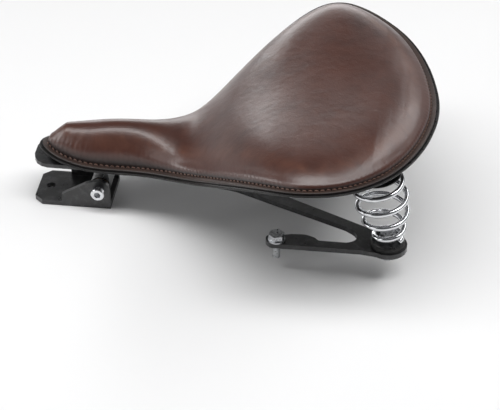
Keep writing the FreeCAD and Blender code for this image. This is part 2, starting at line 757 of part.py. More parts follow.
def build_pivot_bolt():
    """Socket head on the near side, threaded end on the far side."""
    body = new_body("pivot_bolt")
    end, head_len = dim("bolt_end_y"), dim("bolt_head_len")
    head_face = WASHER_FACE + head_len
    pad(body, "shank", "XZ_Plane", end + WASHER_FACE + 1,
        circles=[pivot_circle(BOLT_RAD)], offset=-end)
    head = pad(body, "head", "XZ_Plane", head_len,
               circles=[pivot_circle(dim("bolt_head_rad"))], offset=WASHER_FACE)
    rim = []
    for k, edge in enumerate(body.Shape.Edges):
        box = edge.BoundBox
        if abs(box.YMin - box.YMax) < 1e-6 and abs(box.YMin + head_face.value) < 1e-4:
            rim.append("Edge%d" % (k + 1))
    chamfer = body.newObject("PartDesign::Chamfer", "head_chamfer")
    chamfer.Base = (head, rim[:1])
    chamfer.Size = num("bolt_head_chamfer")
    bind(chamfer, "Size", dim("bolt_head_chamfer"))
    doc.recompute()
    pocket(body, "socket", "XZ_Plane", dim("bolt_socket_deep"),
           hexagon(PIVOT_X, PIVOT_Z, dim("bolt_socket_af"), PIVOT_HEX_TURN), offset=head_face)
    node("pivot_bolt", body)


def build_pivot_washers():
    body = new_body("pivot_washer_near")
    pad(body, "washer", "XZ_Plane", WASHER_THICK, offset=BRACKET_HALF,
        circles=[pivot_circle(dim("pivot_washer_rad")), pivot_circle(BOLT_HOLE_RAD)])
    both_sides("pivot_washers", body)


def build_pivot_lock_nut():
    body = new_body("pivot_lock_nut")
    length = dim("lock_nut_len")
    pad(body, "nut", "XZ_Plane", length,
        hexagon(PIVOT_X, PIVOT_Z, NUT_ACROSS, PIVOT_HEX_TURN),
        [pivot_circle(BOLT_RAD + NUT_GAP)], -(WASHER_FACE + length))
    node("pivot_lock_nut", body)


# ---------------------------------------------------------------- base plate
def half_plate(side):
    """Outline of one half: arm, spring pad, side strip and lobe."""
    tab_x, tab_y = dim("tab_x"), dim("tab_half_width")
    rail_in, rail_mid, rail_out = dim("rail_in_y"), dim("rail_mid_y"), dim("rail_out_y")
    lobe_front, lobe_back = dim("lobe_front_x"), dim("lobe_back_x")
    pad_rad = dim("pad_rad")
    points = [(tab_x, 0), (tab_x, tab_y - 4), (tab_x + 4, tab_y),
              (tab_x + 14, tab_y + 1.5), (tab_x + 24, tab_y + 4)]
    # window between the arm and the side strip
    points += [(PAD_X - 40, PAD_Y - 21), (PAD_X - 31.5, PAD_Y - 14.5),
               (PAD_X - 28, PAD_Y - 8), (PAD_X - 29.5, PAD_Y - 1.5),
               (PAD_X - 36, rail_mid), (lobe_back, rail_mid)]
    # lobe and front of the side strip
    points += [(lobe_back - 3, rail_in + 3), (lobe_back - 12, rail_in - 1),
               (lobe_front + 23, rail_in), (lobe_front + 14, rail_mid - 4.5),
               (lobe_front + 5, rail_mid - 4), (lobe_front, rail_out - 12),
               (lobe_front, rail_out - 5), (lobe_front + 5, rail_out)]
    # outer edge, round spring pad and the arm's rear edge
    points.append((PAD_X - 24, rail_out))
    for degrees in list(range(122, -110, -16)) + [-116]:
        angle = math.radians(degrees)
        points.append((PAD_X + pad_rad * math.cos(angle), PAD_Y + pad_rad * math.sin(angle)))
    points += [(tab_x + 34, 6.5), (tab_x + 30, 2.0), (tab_x + 29, 0)]
    return [(x, y * side) for x, y in points]


def rounded(points, radius):
    """Turns each sharp corner off the centre plane into a curve of five points."""
    points = [(as_dim(x), as_dim(y)) for x, y in points]
    result = []
    for k, (x, y) in enumerate(points):
        last_x, last_y = points[k - 1]
        next_x, next_y = points[(k + 1) % len(points)]
        back = (last_x.value - x.value, last_y.value - y.value)
        ahead = (next_x.value - x.value, next_y.value - y.value)
        back_len, ahead_len = math.hypot(*back), math.hypot(*ahead)
        cosine = (back[0] * ahead[0] + back[1] * ahead[1]) / (back_len * ahead_len)
        if cosine < -0.93 or abs(y.value) < 1e-6 or min(back_len, ahead_len) < 2.0:
            result.append((x, y))
            continue
        reach = min(radius, 0.42 * back_len, 0.42 * ahead_len)
        start = [part / back_len * reach for part in back]
        end = [part / ahead_len * reach for part in ahead]
        for w in (0.0, 0.25, 0.5, 0.75, 1.0):
            dx, dy = [(1 - w) ** 2 * a + w * w * b for a, b in zip(start, end)]
            result.append((x + round(dx, 4), y + round(dy, 4)))
    return result


def build_base_plate():
    body = new_body("base_plate")
    for name, side in (("right_half", 1), ("left_half", -1)):
        pad(body, name, "XY_Plane", PLATE_THICK, rounded(half_plate(side), 7.0),
            offset=PLATE_UNDER)
    holes = [(dim("tab_hole_x"), 0, FRAME_HOLE_RAD)]
    for side in (-1, 1):
        holes += [(PAD_X, PAD_Y * side, BOLT_HOLE_RAD),
                  (dim("rail_bolt_x"), dim("rail_bolt_y") * side, FRAME_HOLE_RAD)]
    pocket(body, "plate_holes", "XY_Plane", PLATE_THICK * 4, circles=holes,
           offset=PLATE_TOP, both=True)
    node("base_plate", body)


def build_plate_mounts():
    """Bolts and washers that hold the side strips down on the frame rails."""
    body = new_body("plate_mount_bolt_near")
    x, y = dim("rail_bolt_x"), -dim("rail_bolt_y")
    thread_len = dim("rail_thread_len")
    pad(body, "shank", "XY_Plane", PLATE_THICK + 2.3 + WASHER_THICK,
        circles=[(x, y, BOLT_RAD)], offset=PLATE_UNDER - 0.3)
    # the threaded length below the strip, at its pitch diameter
    pad(body, "thread", "XY_Plane", thread_len,
        circles=[(x, y, dim("rail_thread_rad"))], offset=PLATE_UNDER - thread_len)
    pad(body, "head", "XY_Plane", HEX_HEAD_LEN, hexagon(x, y, NUT_ACROSS, 20.0),
        offset=PLATE_TOP + WASHER_THICK)
    both_sides("plate_mount_bolts", body)
    both_sides("plate_mount_washers",
               washer("plate_mount_washer", BOLT_HOLE_RAD, x, y, PLATE_TOP))


# ---------------------------------------------------------- lower spring ends
CUP_THICK = dim("cup_thick")
LOW_CUP_Z = PLATE_TOP + dim("isolator_thick")
LOW_WASHER_Z = LOW_CUP_Z + CUP_THICK
UNDER_WASHER_Z = PLATE_UNDER - WASHER_THICK


def build_isolators_and_lower_cups():
    thick, radius = dim("isolator_thick"), dim("isolator_rad")
    bore = BOLT_HOLE_RAD + 0.2
    both_sides("spring_isolators", revolved_body(
        "isolator_near",
        [(bore, 0), (radius, 0), (radius, thick * 0.6), (radius - 1.2, thick), (bore, thick)],
        PAD_X, -PAD_Y, PLATE_TOP))
    radius, bore = dim("low_cup_rad"), BOLT_HOLE_RAD + 0.1
    both_sides("lower_spring_cups", revolved_body(
        "lower_cup_near",
        [(bore, 0), (radius, 0), (radius + dim("cup_bulge"), 0.6), (radius, CUP_THICK),
         (bore, CUP_THICK)],
        PAD_X, -PAD_Y, LOW_CUP_Z))


def build_lower_spring_fasteners():
    """The bolt stands head up inside the lowest coils, its nut under the plate."""
    x, y = PAD_X, -PAD_Y
    hex_points = hexagon(x, y, NUT_ACROSS, SPRING_HEX_TURN)
    body = new_body("lower_spring_bolt_near")
    head_z = LOW_WASHER_Z + WASHER_THICK
    pad(body, "shank", "XY_Plane", (head_z - PLATE_TOP) + PLATE_THICK + 13,
        circles=[(x, y, BOLT_RAD)], offset=PLATE_UNDER - 12)
    pad(body, "head", "XY_Plane", HEX_HEAD_LEN, hex_points, offset=head_z)
    both_sides("lower_spring_bolts", body)
    both_sides("lower_spring_washers", group("low_washers_near", [
        washer("low_washer_a", BOLT_HOLE_RAD, x, y, LOW_WASHER_Z),
        washer("low_washer_b", BOLT_HOLE_RAD, x, y, UNDER_WASHER_Z)]))
    body = new_body("lower_nut_near")
    pad(body, "nut", "XY_Plane", NUT_LEN, hex_points,
        [(x, y, BOLT_RAD + NUT_GAP)], UNDER_WASHER_Z - NUT_LEN)
    both_sides("lower_spring_nuts", body)


# ---------------------------------------------------------- upper spring ends
TOP_CUP_Z = num("wire_rad") + 0.02      # the cup's underside rests on the top coil


def build_upper_cups():
    """Cup over the top coil, with a hub that reaches up to the spring plate."""
    thick, radius = num("cup_thick"), num("high_cup_rad")
    bore = num("pivot_hole_rad") + 0.1
    upper = TOP_CUP_Z + thick
    hub_rad, hub_end = 11.0, TOP_CUP_Z + 40
    section = [(bore, TOP_CUP_Z), (radius, TOP_CUP_Z),
               (radius + num("cup_bulge"), TOP_CUP_Z + 0.5 * thick), (radius, upper),
               (13.0, upper), (hub_rad, upper + 2.0), (hub_rad, hub_end), (bore, hub_end)]
    wire = Part.makePolygon([V(x, 0, z) for x, z in section + section[:1]])
    cup = Part.Face(wire).revolve(V(0, 0, 0), V(0, 0, 1), 360)
    cup.Placement = TOP_PLACE
    mirrored_pair("upper_spring_cups", largest(cup.common(below(TOP_PLATE_UNDER + 0.02))))


def build_upper_plates():
    """Pressed plates that follow the pan, with rounded corners."""
    height = 200
    box = Part.makeBox(50, 40, height, V(TOP_PLATE_X - 26, -TOP_PLATE_Y - 20, 20))
    box = box.makeFillet(9.0, [edge for edge in box.Edges if abs(edge.Length - height) < 1e-6])
    holes = [Part.makeCylinder(num("rivet_hole_rad"), 120, V(x, y, 40))
             for x, y in RIVETS if y < 0]
    plate = slab(TOP_PLATE_TOP, TOP_PLATE_UNDER).common(box).cut([top_bolt_hole] + holes)
    mirrored_pair("upper_spring_plates", plate)


def build_plate_rivets():
    shank_rad, head_rad, length = num("rivet_rad"), num("rivet_head_rad"), 16.0
    rivets = []
    for x, y in RIVETS:
        top = sheet_z(x, y)
        shank = Part.makeCylinder(shank_rad, length, V(x, y, top - 12))
        shank = shank.common(slab(PAN_TOP + 0.8, TOP_PLATE_UNDER - 0.8))
        upper = Part.makeCylinder(head_rad, length, V(x, y, top - 8))
        upper = upper.common(slab(PAN_TOP + 1.8, PAN_TOP + 0.02))
        lower = Part.makeCylinder(head_rad, length, V(x, y, top - 18))
        lower = lower.common(slab(TOP_PLATE_UNDER - 0.02, TOP_PLATE_UNDER - 2.0))
        rivets.append(shank.fuse([upper, lower]).Solids[0])
    shape_node("plate_rivets", Part.makeCompound(rivets))


def hex_prism(height, z0):
    across = num("nut_af")
    corners = [V(across * u, across * v, z0) for u, v in unit_hexagon(SPRING_HEX_TURN)]
    return Part.Face(Part.makePolygon(corners + corners[:1])).extrude(V(0, 0, height))


def build_upper_fasteners():
    """Bolts from below, heads inside the top coils, into nuts welded on the pan."""
    bolt_rad, head_len, nut_len = num("bolt_rad"), num("hex_head_len"), num("nut_len")
    pan_top = sheet_z(SPRING_TOP_X, num("pad_y")) - num("spring_high_z")
    bolt = Part.makeCylinder(bolt_rad, pan_top + 9.0 - TOP_CUP_Z + 1, V(0, 0, TOP_CUP_Z - 1))
    bolt = bolt.fuse(hex_prism(head_len, TOP_CUP_Z - head_len - 0.02))
    bolt.Placement = TOP_PLACE
    mirrored_pair("upper_spring_bolts", bolt)
    nut_z = pan_top + 0.2
    bore = Part.makeCylinder(bolt_rad + num("nut_bore_gap"), nut_len + 4, V(0, 0, nut_z - 2))
    nut = hex_prism(nut_len, nut_z).cut(bore)
    nut.Placement = TOP_PLACE
    mirrored_pair("pan_weld_nuts", nut)


# ------------------------------------------------------------------- springs
POINTS_PER_TURN = 16
START_DEG = 270.0           # direction of turn 0 about the spring's axis
PITCH_FALL = -0.12          # height change with the square of the turn
LOW_END_PITCH, HIGH_END_PITCH = 1.4, 1.8    # rise per turn of the closed end coils
HEIGHT_BLEND, RADIUS_BLEND = 2.0, 1.2       # how widely the laws are rounded together


def smooth_max(a, b, width):
    """The larger of a and b, rounded over width where they meet."""
    overlap = max(width - abs(a - b), 0.0)
    return max(a, b) + overlap * overlap / (4 * width)


def spring(side_y):
    """Open conical coils, with a nearly flat closed coil at each end."""
    low_z, high_z = num("spring_low_z"), num("spring_high_z")
    low_rad, high_rad = num("spring_low_rad"), num("spring_high_rad")
    first, last = num("spring_first_turn"), num("spring_last_turn")
    full_tilt = math.radians(num("spring_tilt_deg"))
    ref_z, pitch, ref_rad = num("coil_ref_z"), num("coil_pitch"), num("coil_ref_rad")
    grow, fall = num("coil_rad_grow"), num("coil_rad_fall")
    base_x, shift_x = num("pad_x"), num("spring_shift_x")
    count = int((last - first) * POINTS_PER_TURN)
    points = []
    for i in range(count + 1):
        turn = first + (last - first) * i / count
        angle = math.radians(START_DEG) + 2 * math.pi * turn
        z = ref_z + pitch * turn + PITCH_FALL * turn * turn
        z = smooth_max(z, low_z + LOW_END_PITCH * (turn - first), HEIGHT_BLEND)
        z = -smooth_max(-z, -(high_z - HIGH_END_PITCH * (last - turn)), HEIGHT_BLEND)
        radius = ref_rad + grow * turn + fall * turn * turn
        radius = smooth_max(radius, low_rad if turn < 1.5 else high_rad, RADIUS_BLEND)
        # the coils shift forwards and lean with height
        share = (z - low_z) / (high_z - low_z)
        tilt = full_tilt * share
        along, across = math.cos(angle) * radius, math.sin(angle) * radius
        points.append(V(base_x + shift_x * share + along * math.cos(tilt),
                        side_y + across, z + along * math.sin(tilt)))
    curve = Part.BSplineCurve()
    curve.interpolate(Points=points)
    direction = curve.tangent(curve.FirstParameter)[0]
    section = Part.Wire([Part.makeCircle(num("wire_rad"), points[0], direction)])
    return Part.Wire([curve.toShape()]).makePipeShell([section], True, True)


# --------------------------------------------------------------------- build
build_base_leather()
build_seat_pan()
build_cushion_cover()
build_flange_leather()
build_foam_pad()
build_seam_thread()
build_front_strap()
build_studs_and_spacers()
build_stud_washers_and_nuts()
build_pivot_bushings()
build_front_bracket()
build_pivot_bolt()
build_pivot_washers()
build_pivot_lock_nut()
build_base_plate()
build_plate_mounts()
build_isolators_and_lower_cups()
build_lower_spring_fasteners()
build_upper_cups()
build_upper_plates()
build_plate_rivets()
build_upper_fasteners()
shape_node("spring_left", spring(-num("pad_y")))
shape_node("spring_right", spring(num("pad_y")))
doc.recompute()

# --------------------------------------------------------------------- export
faults = ["%s %s" % (obj.Name, obj.State) for obj in doc.Objects
          if "Invalid" in obj.State or "Error" in obj.State]
for name, obj in NODES.items():
    shape = obj.Shape
    if shape.isNull() or not shape.isValid():
        faults.append("%s shape" % name)
    elif not shape.Solids:
        faults.append("%s has no solid" % name)
    elif any(solid.Volume <= 0 for solid in shape.Solids):
        faults.append("%s is inside out" % name)
if faults:
    raise RuntimeError("the model has faults: " + "; ".join(faults))

os.makedirs("parts", exist_ok=True)
for name, obj in NODES.items():
    solids = obj.Shape.Solids
    piece = solids[0] if len(solids) == 1 else Part.makeCompound(solids)
    piece.exportStep("parts/%s.step" % name)
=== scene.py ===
# A sprung leather seat: a padded cushion stitched to a leather flange over a leather base
# sheet, on a steel pan with two chrome coil springs under its wide end.
# It is symmetric about the XZ plane, with the nose at -X, the wide end at +X, left at -Y, Z up.
import math
import bpy
import bmesh
import numpy as np
from mathutils import Vector, Matrix
from mathutils.bvhtree import BVHTree


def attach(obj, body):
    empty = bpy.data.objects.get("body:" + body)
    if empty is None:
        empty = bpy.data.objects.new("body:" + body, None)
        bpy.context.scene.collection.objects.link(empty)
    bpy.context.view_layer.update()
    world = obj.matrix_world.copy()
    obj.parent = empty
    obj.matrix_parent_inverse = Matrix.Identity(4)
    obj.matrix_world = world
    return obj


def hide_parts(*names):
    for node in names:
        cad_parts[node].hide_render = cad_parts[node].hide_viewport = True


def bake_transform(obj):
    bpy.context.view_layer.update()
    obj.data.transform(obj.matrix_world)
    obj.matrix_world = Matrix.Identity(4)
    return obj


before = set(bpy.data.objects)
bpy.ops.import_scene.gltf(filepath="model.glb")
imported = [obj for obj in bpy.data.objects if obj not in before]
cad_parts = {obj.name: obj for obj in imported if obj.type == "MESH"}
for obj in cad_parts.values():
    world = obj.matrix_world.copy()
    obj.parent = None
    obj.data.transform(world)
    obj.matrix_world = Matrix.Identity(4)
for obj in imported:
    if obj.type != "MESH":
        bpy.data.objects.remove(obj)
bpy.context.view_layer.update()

PI = math.pi
MM = 0.001                      # shapes are worked out in millimetres and built in metres
rng = np.random.default_rng(11)

# ---------------------------------------------------------------- dimensions
NOSE_X, NOSE_Z = -28.0, 58.0    # tip of the flange leather
DISH = 0.00095                  # how fast the flange rises sideways, per mm squared
SEAM_INSET = 8.5                # from the flange outline to the seam
SEAM_POINTS = 900
FLANGE_POINTS = 1400
RISE_LENGTH = 19.0              # how far in from the seam the padding keeps rising
HEM_HEIGHT = 1.2                # cushion over the flange at the seam
STITCH_PITCH = 5.2              # before it is fitted to a whole number of stitches

# Flange outline: distance behind the nose, half width
OUTLINE = [
    (0, 0), (2, 7.4), (5, 11.7), (10, 16.6), (20, 23.2), (40, 30.4), (60, 32.7), (80, 33.3),
    (100, 35.7), (120, 43.3), (140, 56.9), (160, 75.9), (180, 97.8), (200, 119), (220, 138.2),
    (240, 154.6), (260, 165.6), (280, 167.3), (300, 160.4), (320, 146.8), (340, 126.0),
    (350, 111.3), (360, 91.8), (370, 64.2), (375, 43.9), (378.7, 22.4), (380, 0)]
# Middle of the flange sheet: distance behind the nose, height over the nose
CENTRE = [
    (-20, 2.6), (0, 0), (20, -4.0), (40, -6.9), (60, -8.6), (80, -8.8), (100, -7.4),
    (120, -3.9), (140, 2.2), (160, 11.3), (180, 22.4), (200, 32.6), (220, 40.7), (240, 46.6),
    (260, 50.0), (280, 51.7), (300, 52.4), (320, 53.8), (340, 56.8), (360, 61.0), (380, 65.4),
    (400, 70.0)]
# Thickness of the cushion: distance behind the nose, height over the flange sheet
CROWN = [
    (-20, 14.0), (0, 18.0), (20, 23.5), (50, 31.0), (70, 35.0), (90, 35.6), (110, 32.6),
    (130, 27.0), (150, 21.0), (170, 23.0), (190, 28.5), (210, 32.0), (230, 33.2), (250, 32.0),
    (300, 28.5), (340, 26.0), (380, 22.0), (400, 22.0)]
# Slope of the padding at the seam: distance behind the nose, exponent (small is steep)
STEEPNESS = [
    (0, 0.62), (30, 0.62), (90, 0.62), (150, 0.76), (200, 0.76), (240, 0.78), (280, 0.80),
    (340, 0.78)]


# -------------------------------------------------------------------- curves
def table_curve(table):
    """Smooth cubic through the (x, value) rows, held level outside them."""
    xs, ys = np.array(table, float).T
    gaps = np.diff(xs)
    rises = np.diff(ys) / gaps
    slopes = np.empty(len(xs))
    slopes[0], slopes[-1] = rises[0], rises[-1]
    slopes[1:-1] = (rises[:-1] * gaps[1:] + rises[1:] * gaps[:-1]) / (gaps[1:] + gaps[:-1])

    def value(x):
        x = np.clip(np.asarray(x, float), xs[0], xs[-1])
        i = np.clip(np.searchsorted(xs, x, side="right") - 1, 0, len(xs) - 2)
        t = (x - xs[i]) / gaps[i]
        return ((2 * t ** 3 - 3 * t * t + 1) * ys[i]
                + (t ** 3 - 2 * t * t + t) * gaps[i] * slopes[i]
                + (-2 * t ** 3 + 3 * t * t) * ys[i + 1]
                + (t ** 3 - t * t) * gaps[i] * slopes[i + 1])
    return value


centre_line = table_curve(CENTRE)
crown_line = table_curve(CROWN)
steepness_line = table_curve(STEEPNESS)


def sheet_z(x, y):
    """Top of the flange leather."""
    return NOSE_Z + centre_line(x - NOSE_X) + DISH * y ** 2


def on_sheet(points, lift):
    """XY points placed at a lift over the flange sheet."""
    return np.c_[points, sheet_z(points[:, 0], points[:, 1]) + lift]


def smoothstep(low, high, x):
    t = np.clip((x - low) / (high - low), 0, 1)
    return t * t * (3 - 2 * t)


def periodic_spline(points, knots):
    """Closed cubic spline through the points; knots is one longer than points."""
    n = len(points)
    gaps = np.diff(knots)
    system = np.zeros((n, n))
    right = np.zeros((n, points.shape[1]))
    for i in range(n):
        before, after = gaps[(i - 1) % n], gaps[i]
        system[i, (i - 1) % n] += before
        system[i, i] += 2 * (before + after)
        system[i, (i + 1) % n] += after
        right[i] = 6 * ((points[(i + 1) % n] - points[i]) / after
                        - (points[i] - points[(i - 1) % n]) / before)
    bends = np.linalg.solve(system, right)

    def value(u):
        i = np.clip(np.searchsorted(knots, u, side="right") - 1, 0, n - 1)
        j = (i + 1) % n
        gap = gaps[i][:, None]
        to_next = (knots[i + 1] - u)[:, None]
        from_last = (u - knots[i])[:, None]
        return ((bends[i] * to_next ** 3 + bends[j] * from_last ** 3) / (6 * gap)
                + (points[i] / gap - bends[i] * gap / 6) * to_next
                + (points[j] / gap - bends[j] * gap / 6) * from_last)
    return value


def dense_outline(samples=24000):
    """The whole flange outline as a closed polyline."""
    half = np.array(OUTLINE, float)
    ring = np.vstack([np.c_[NOSE_X + half[:, 0], half[:, 1]],
                      np.c_[NOSE_X + half[-2:0:-1, 0], -half[-2:0:-1, 1]]])
    lengths = np.linalg.norm(np.roll(ring, -1, axis=0) - ring, axis=1)
    knots = np.r_[0, np.cumsum(lengths ** 0.75)]
    return periodic_spline(ring, knots)(np.linspace(0, knots[-1], samples + 1)[:-1])


DENSE = dense_outline()


def resample(loop, n):
    """n points evenly spaced along a closed polyline, and its length."""
    closed = np.vstack([loop, loop[:1]])
    arc = np.r_[0, np.cumsum(np.linalg.norm(np.diff(closed, axis=0), axis=1))]
    at = np.arange(n) / n * arc[-1]
    return np.stack([np.interp(at, arc, column) for column in closed.T], 1), arc[-1]


def outward_normals(loop):
    """Outward unit normals of a closed polyline."""
    tangent = np.roll(loop, -1, axis=0) - np.roll(loop, 1, axis=0)
    tangent /= np.linalg.norm(tangent, axis=1)[:, None] + 1e-12
    normal = np.c_[-tangent[:, 1], tangent[:, 0]]
    if ((loop - loop.mean(0)) * normal).sum() < 0:
        normal = -normal
    return normal


def smooth_closed(loop, passes):
    for _ in range(passes):
        loop = 0.5 * loop + 0.25 * (np.roll(loop, 1, axis=0) + np.roll(loop, -1, axis=0))
    return loop


def offset_loop(inset, n, work_points=4000):
    """A closed loop inside the outline, n points evenly spaced, and its length."""
    base, _ = resample(DENSE, work_points)
    loop = base - outward_normals(base) * inset
    if inset > 0:
        # points that crossed over at the nose lie too near the outline and are dropped
        coarse = base[::4]
        keep = np.ones(len(loop), bool)
        for i in range(0, len(loop), 500):
            gap = np.sqrt(((loop[i:i + 500, None] - coarse[None]) ** 2).sum(2)).min(1)
            keep[i:i + 500] = gap > inset - 0.06
        loop, _ = resample(loop[keep], work_points)
        loop = smooth_closed(loop, 10)
    return resample(loop, n)


def distance_to(points, loop, chunk=3000):
    """Unsigned distance of the points to the closed loop."""
    edges = np.roll(loop, -1, axis=0) - loop
    squares = (edges ** 2).sum(1) + 1e-12
    out = np.empty(len(points))
    for i in range(0, len(points), chunk):
        reach = points[i:i + chunk][:, None] - loop[None]
        t = np.clip((reach * edges[None]).sum(2) / squares, 0, 1)
        gap = reach - t[..., None] * edges[None]
        out[i:i + chunk] = np.sqrt((gap ** 2).sum(2).min(1))
    return out


# ---------------------------------------------------------------------- seam
SEAM, SEAM_LENGTH = offset_loop(SEAM_INSET, SEAM_POINTS)
SEAM_NORMALS = outward_normals(smooth_closed(SEAM, 6))
STITCHES = int(round(SEAM_LENGTH / STITCH_PITCH))
PITCH = SEAM_LENGTH / STITCHES
SPINE_START = SEAM[:, 0].min() + 17.0
SPINE_END = SEAM[:, 0].max() - 62.0


def spine_points(x):
    """For every x of a loop, the point of the seat's spine it looks at."""
    share = (x - x.min()) / np.ptp(x)
    return np.c_[SPINE_START + share * (SPINE_END - SPINE_START), np.zeros(len(x))]


SPINE = spine_points(SEAM[:, 0])


def rows_to_spine(start, spine, fractions, lift):
    """Rings between a loop and the spine, at a lift over the flange sheet."""
    return [on_sheet(start[:, :2] + (spine - start[:, :2]) * f, lift) for f in fractions]


# ------------------------------------------------------------- padding height
def neighbours(grid):
    """The grid shifted by one cell to each side."""
    return [np.roll(grid, shift, axis=axis) for axis in (0, 1) for shift in (1, -1)]


def inside_loop(grid_x, grid_y, loop):
    """Even-odd test of every grid point, one column at a time."""
    inside = np.zeros((len(grid_x), len(grid_y)), bool)
    for a, b in zip(loop, np.roll(loop, -1, axis=0)):
        low, high = min(a[0], b[0]), max(a[0], b[0])
        for column in np.nonzero((grid_x > low) & (grid_x <= high))[0]:
            crossing = a[1] + (grid_x[column] - a[0]) / (b[0] - a[0]) * (b[1] - a[1])
            inside[column] ^= grid_y > crossing
    return inside


def membrane(step=2.0, passes=1500, thin=0.3):
    """A swollen skin held at the seam, with no ridge along the middle.

    Returns the grid's x and y, the skin's height, and its height per mm from the seam.
    """
    start, end = SEAM[:, 0].min() - 2 * step, SEAM[:, 0].max() + 2 * step
    side = math.ceil((SEAM[:, 1].max() + 2 * step) / step) * step
    grid_x = np.arange(start, end + step, step)
    grid_y = np.arange(-side, side + 0.1, step)
    X, Y = np.meshgrid(grid_x, grid_y, indexing="ij")
    loop = SEAM[::3]
    distance = distance_to(np.c_[X.ravel(), Y.ravel()], loop).reshape(X.shape)
    inside = inside_loop(grid_x, grid_y, loop)
    signed = np.where(inside, distance, -distance)

    # cells beside the seam are weighted by how near it cuts their edges
    load = (step / RISE_LENGTH) ** 2
    weight = np.full(X.shape, 4.0 + load)
    open_sides = []
    for beside in neighbours(signed):
        cut = inside & (beside <= 0)
        share = np.clip(signed / np.maximum(signed - beside, 1e-9), 0.12, 1.0)
        weight = weight + np.where(cut, (1 - share) / share, 0.0)
        open_sides.append((inside & (beside > 0)).astype(float))
    height = np.where(inside, 1.0, 0.0) * 20.0
    for _ in range(passes):
        total = np.full(X.shape, load)
        for beside, is_open in zip(neighbours(height), open_sides):
            total += beside * is_open
        height = np.where(inside, total / weight, 0.0)

    # the slope is spread a few cells past the seam, so it can be read right up to it
    slope = np.where(inside & (signed > thin), height / np.maximum(signed, thin), 0.0)
    known = (inside & (signed > thin)).astype(float)
    for _ in range(4):
        count, total = known.copy(), slope * known
        for beside, beside_slope in zip(neighbours(known), neighbours(slope * known)):
            count += beside
            total += beside_slope
        new = (known == 0) & (count > 0)
        slope = np.where(new, total / np.maximum(count, 1e-9), slope)
        known = np.where(new, 1.0, known)
    return grid_x, grid_y, height, slope


def bilinear(grid_x, grid_y, field, x, y):
    u = (x - grid_x[0]) / (grid_x[1] - grid_x[0])
    v = (y - grid_y[0]) / (grid_y[1] - grid_y[0])
    i = np.clip(u.astype(int), 0, len(grid_x) - 2)
    j = np.clip(v.astype(int), 0, len(grid_y) - 2)
    a, b = u - i, v - j
    return (field[i, j] * (1 - a) * (1 - b) + field[i + 1, j] * a * (1 - b)
            + field[i, j + 1] * (1 - a) * b + field[i + 1, j + 1] * a * b)


GRID_X, GRID_Y, SKIN, SKIN_SLOPE = membrane()
SKIN_MIDDLE = SKIN[:, len(GRID_Y) // 2]


def cushion_height(x, y, distance):
    """Height of the cushion over the flange sheet, at a distance inside the seam."""
    near = bilinear(GRID_X, GRID_Y, SKIN_SLOPE, x, y) * distance
    far = bilinear(GRID_X, GRID_Y, SKIN, x, y)
    inner = smoothstep(4.0, 9.0, distance)
    skin = near * (1 - inner) + far * inner
    middle = np.interp(np.clip(x, NOSE_X + 27.0, NOSE_X + 325.0), GRID_X, SKIN_MIDDLE)
    rise = np.clip(skin / middle, 0, 1.3) ** steepness_line(x - NOSE_X)
    return HEM_HEIGHT + (crown_line(x - NOSE_X) - HEM_HEIGHT) * rise


# ------------------------------------------------------------ mesh utilities
def shade_smooth(mesh):
    mesh.polygons.foreach_set("use_smooth", [True] * len(mesh.polygons))


def make_mesh(name, verts, faces):
    """A smooth-shaded object from vertices in mm."""
    mesh = bpy.data.meshes.new(name)
    mesh.from_pydata([tuple(v) for v in np.asarray(verts) * MM], [], faces)
    mesh.update()
    ob = bpy.data.objects.new(name, mesh)
    bpy.context.scene.collection.objects.link(ob)
    shade_smooth(mesh)
    return ob


def clean_mesh(ob, merge=1e-7, fill=False):
    """Welds vertices nearer than merge (m), fills holes if asked, turns the faces outward."""
    bm = bmesh.new()
    bm.from_mesh(ob.data)
    bmesh.ops.remove_doubles(bm, verts=bm.verts, dist=merge)
    if fill:
        open_edges = [e for e in bm.edges if e.is_boundary]
        if open_edges:
            bmesh.ops.holes_fill(bm, edges=open_edges, sides=0)
    bmesh.ops.recalc_face_normals(bm, faces=bm.faces)
    bm.to_mesh(ob.data)
    bm.free()
    shade_smooth(ob.data)


def attribute(ob, name, values):
    layer = ob.data.attributes.new(name, "FLOAT", "POINT")
    layer.data.foreach_set("value", np.asarray(values, np.float32))


def band_faces(a, b, n):
    """Quads between the closed rings of n points that start at vertices a and b."""
    return [(a + i, a + (i + 1) % n, b + (i + 1) % n, b + i) for i in range(n)]


def loop_faces(n, rows, closed=False):
    """Quads between successive rings of n points; closed joins the last to the first."""
    faces = []
    for j in range(rows if closed else rows - 1):
        faces += band_faces(j * n, (j + 1) % rows * n, n)
    return faces


def tube_data(path, radii, sides, closed=False):
    """Vertices and faces of a round rod along a path, capped unless it is closed."""
    path = np.asarray(path, float)
    n = len(path)
    if closed:
        tangent = np.roll(path, -1, axis=0) - np.roll(path, 1, axis=0)
    else:
        tangent = np.gradient(path, axis=0)
    tangent /= np.linalg.norm(tangent, axis=1)[:, None]
    # the section's first axis starts near +Z and is carried along without twist
    axis = np.array((0.0, 0.0, 1.0))
    axes = []
    for direction in tangent:
        axis = axis - direction * (axis @ direction)
        axis /= np.linalg.norm(axis)
        axes.append(axis)
    first = np.array(axes)
    second = np.cross(tangent, first)
    angle = np.arange(sides) * 2 * PI / sides
    section = (np.cos(angle)[None, :, None] * first[:, None]
               + np.sin(angle)[None, :, None] * second[:, None])
    radii = np.broadcast_to(radii, n)
    verts = (path[:, None] + radii[:, None, None] * section).reshape(-1, 3)
    faces = loop_faces(sides, n, closed)
    if not closed:
        faces.append(tuple(range(sides))[::-1])
        faces.append(tuple((n - 1) * sides + i for i in range(sides)))
    return verts, faces


def join_data(parts):
    """One vertex array and face list from several."""
    faces, start = [], 0
    for part_verts, part_faces in parts:
        faces += [tuple(i + start for i in face) for face in part_faces]
        start += len(part_verts)
    return np.vstack([part_verts for part_verts, _ in parts]), faces


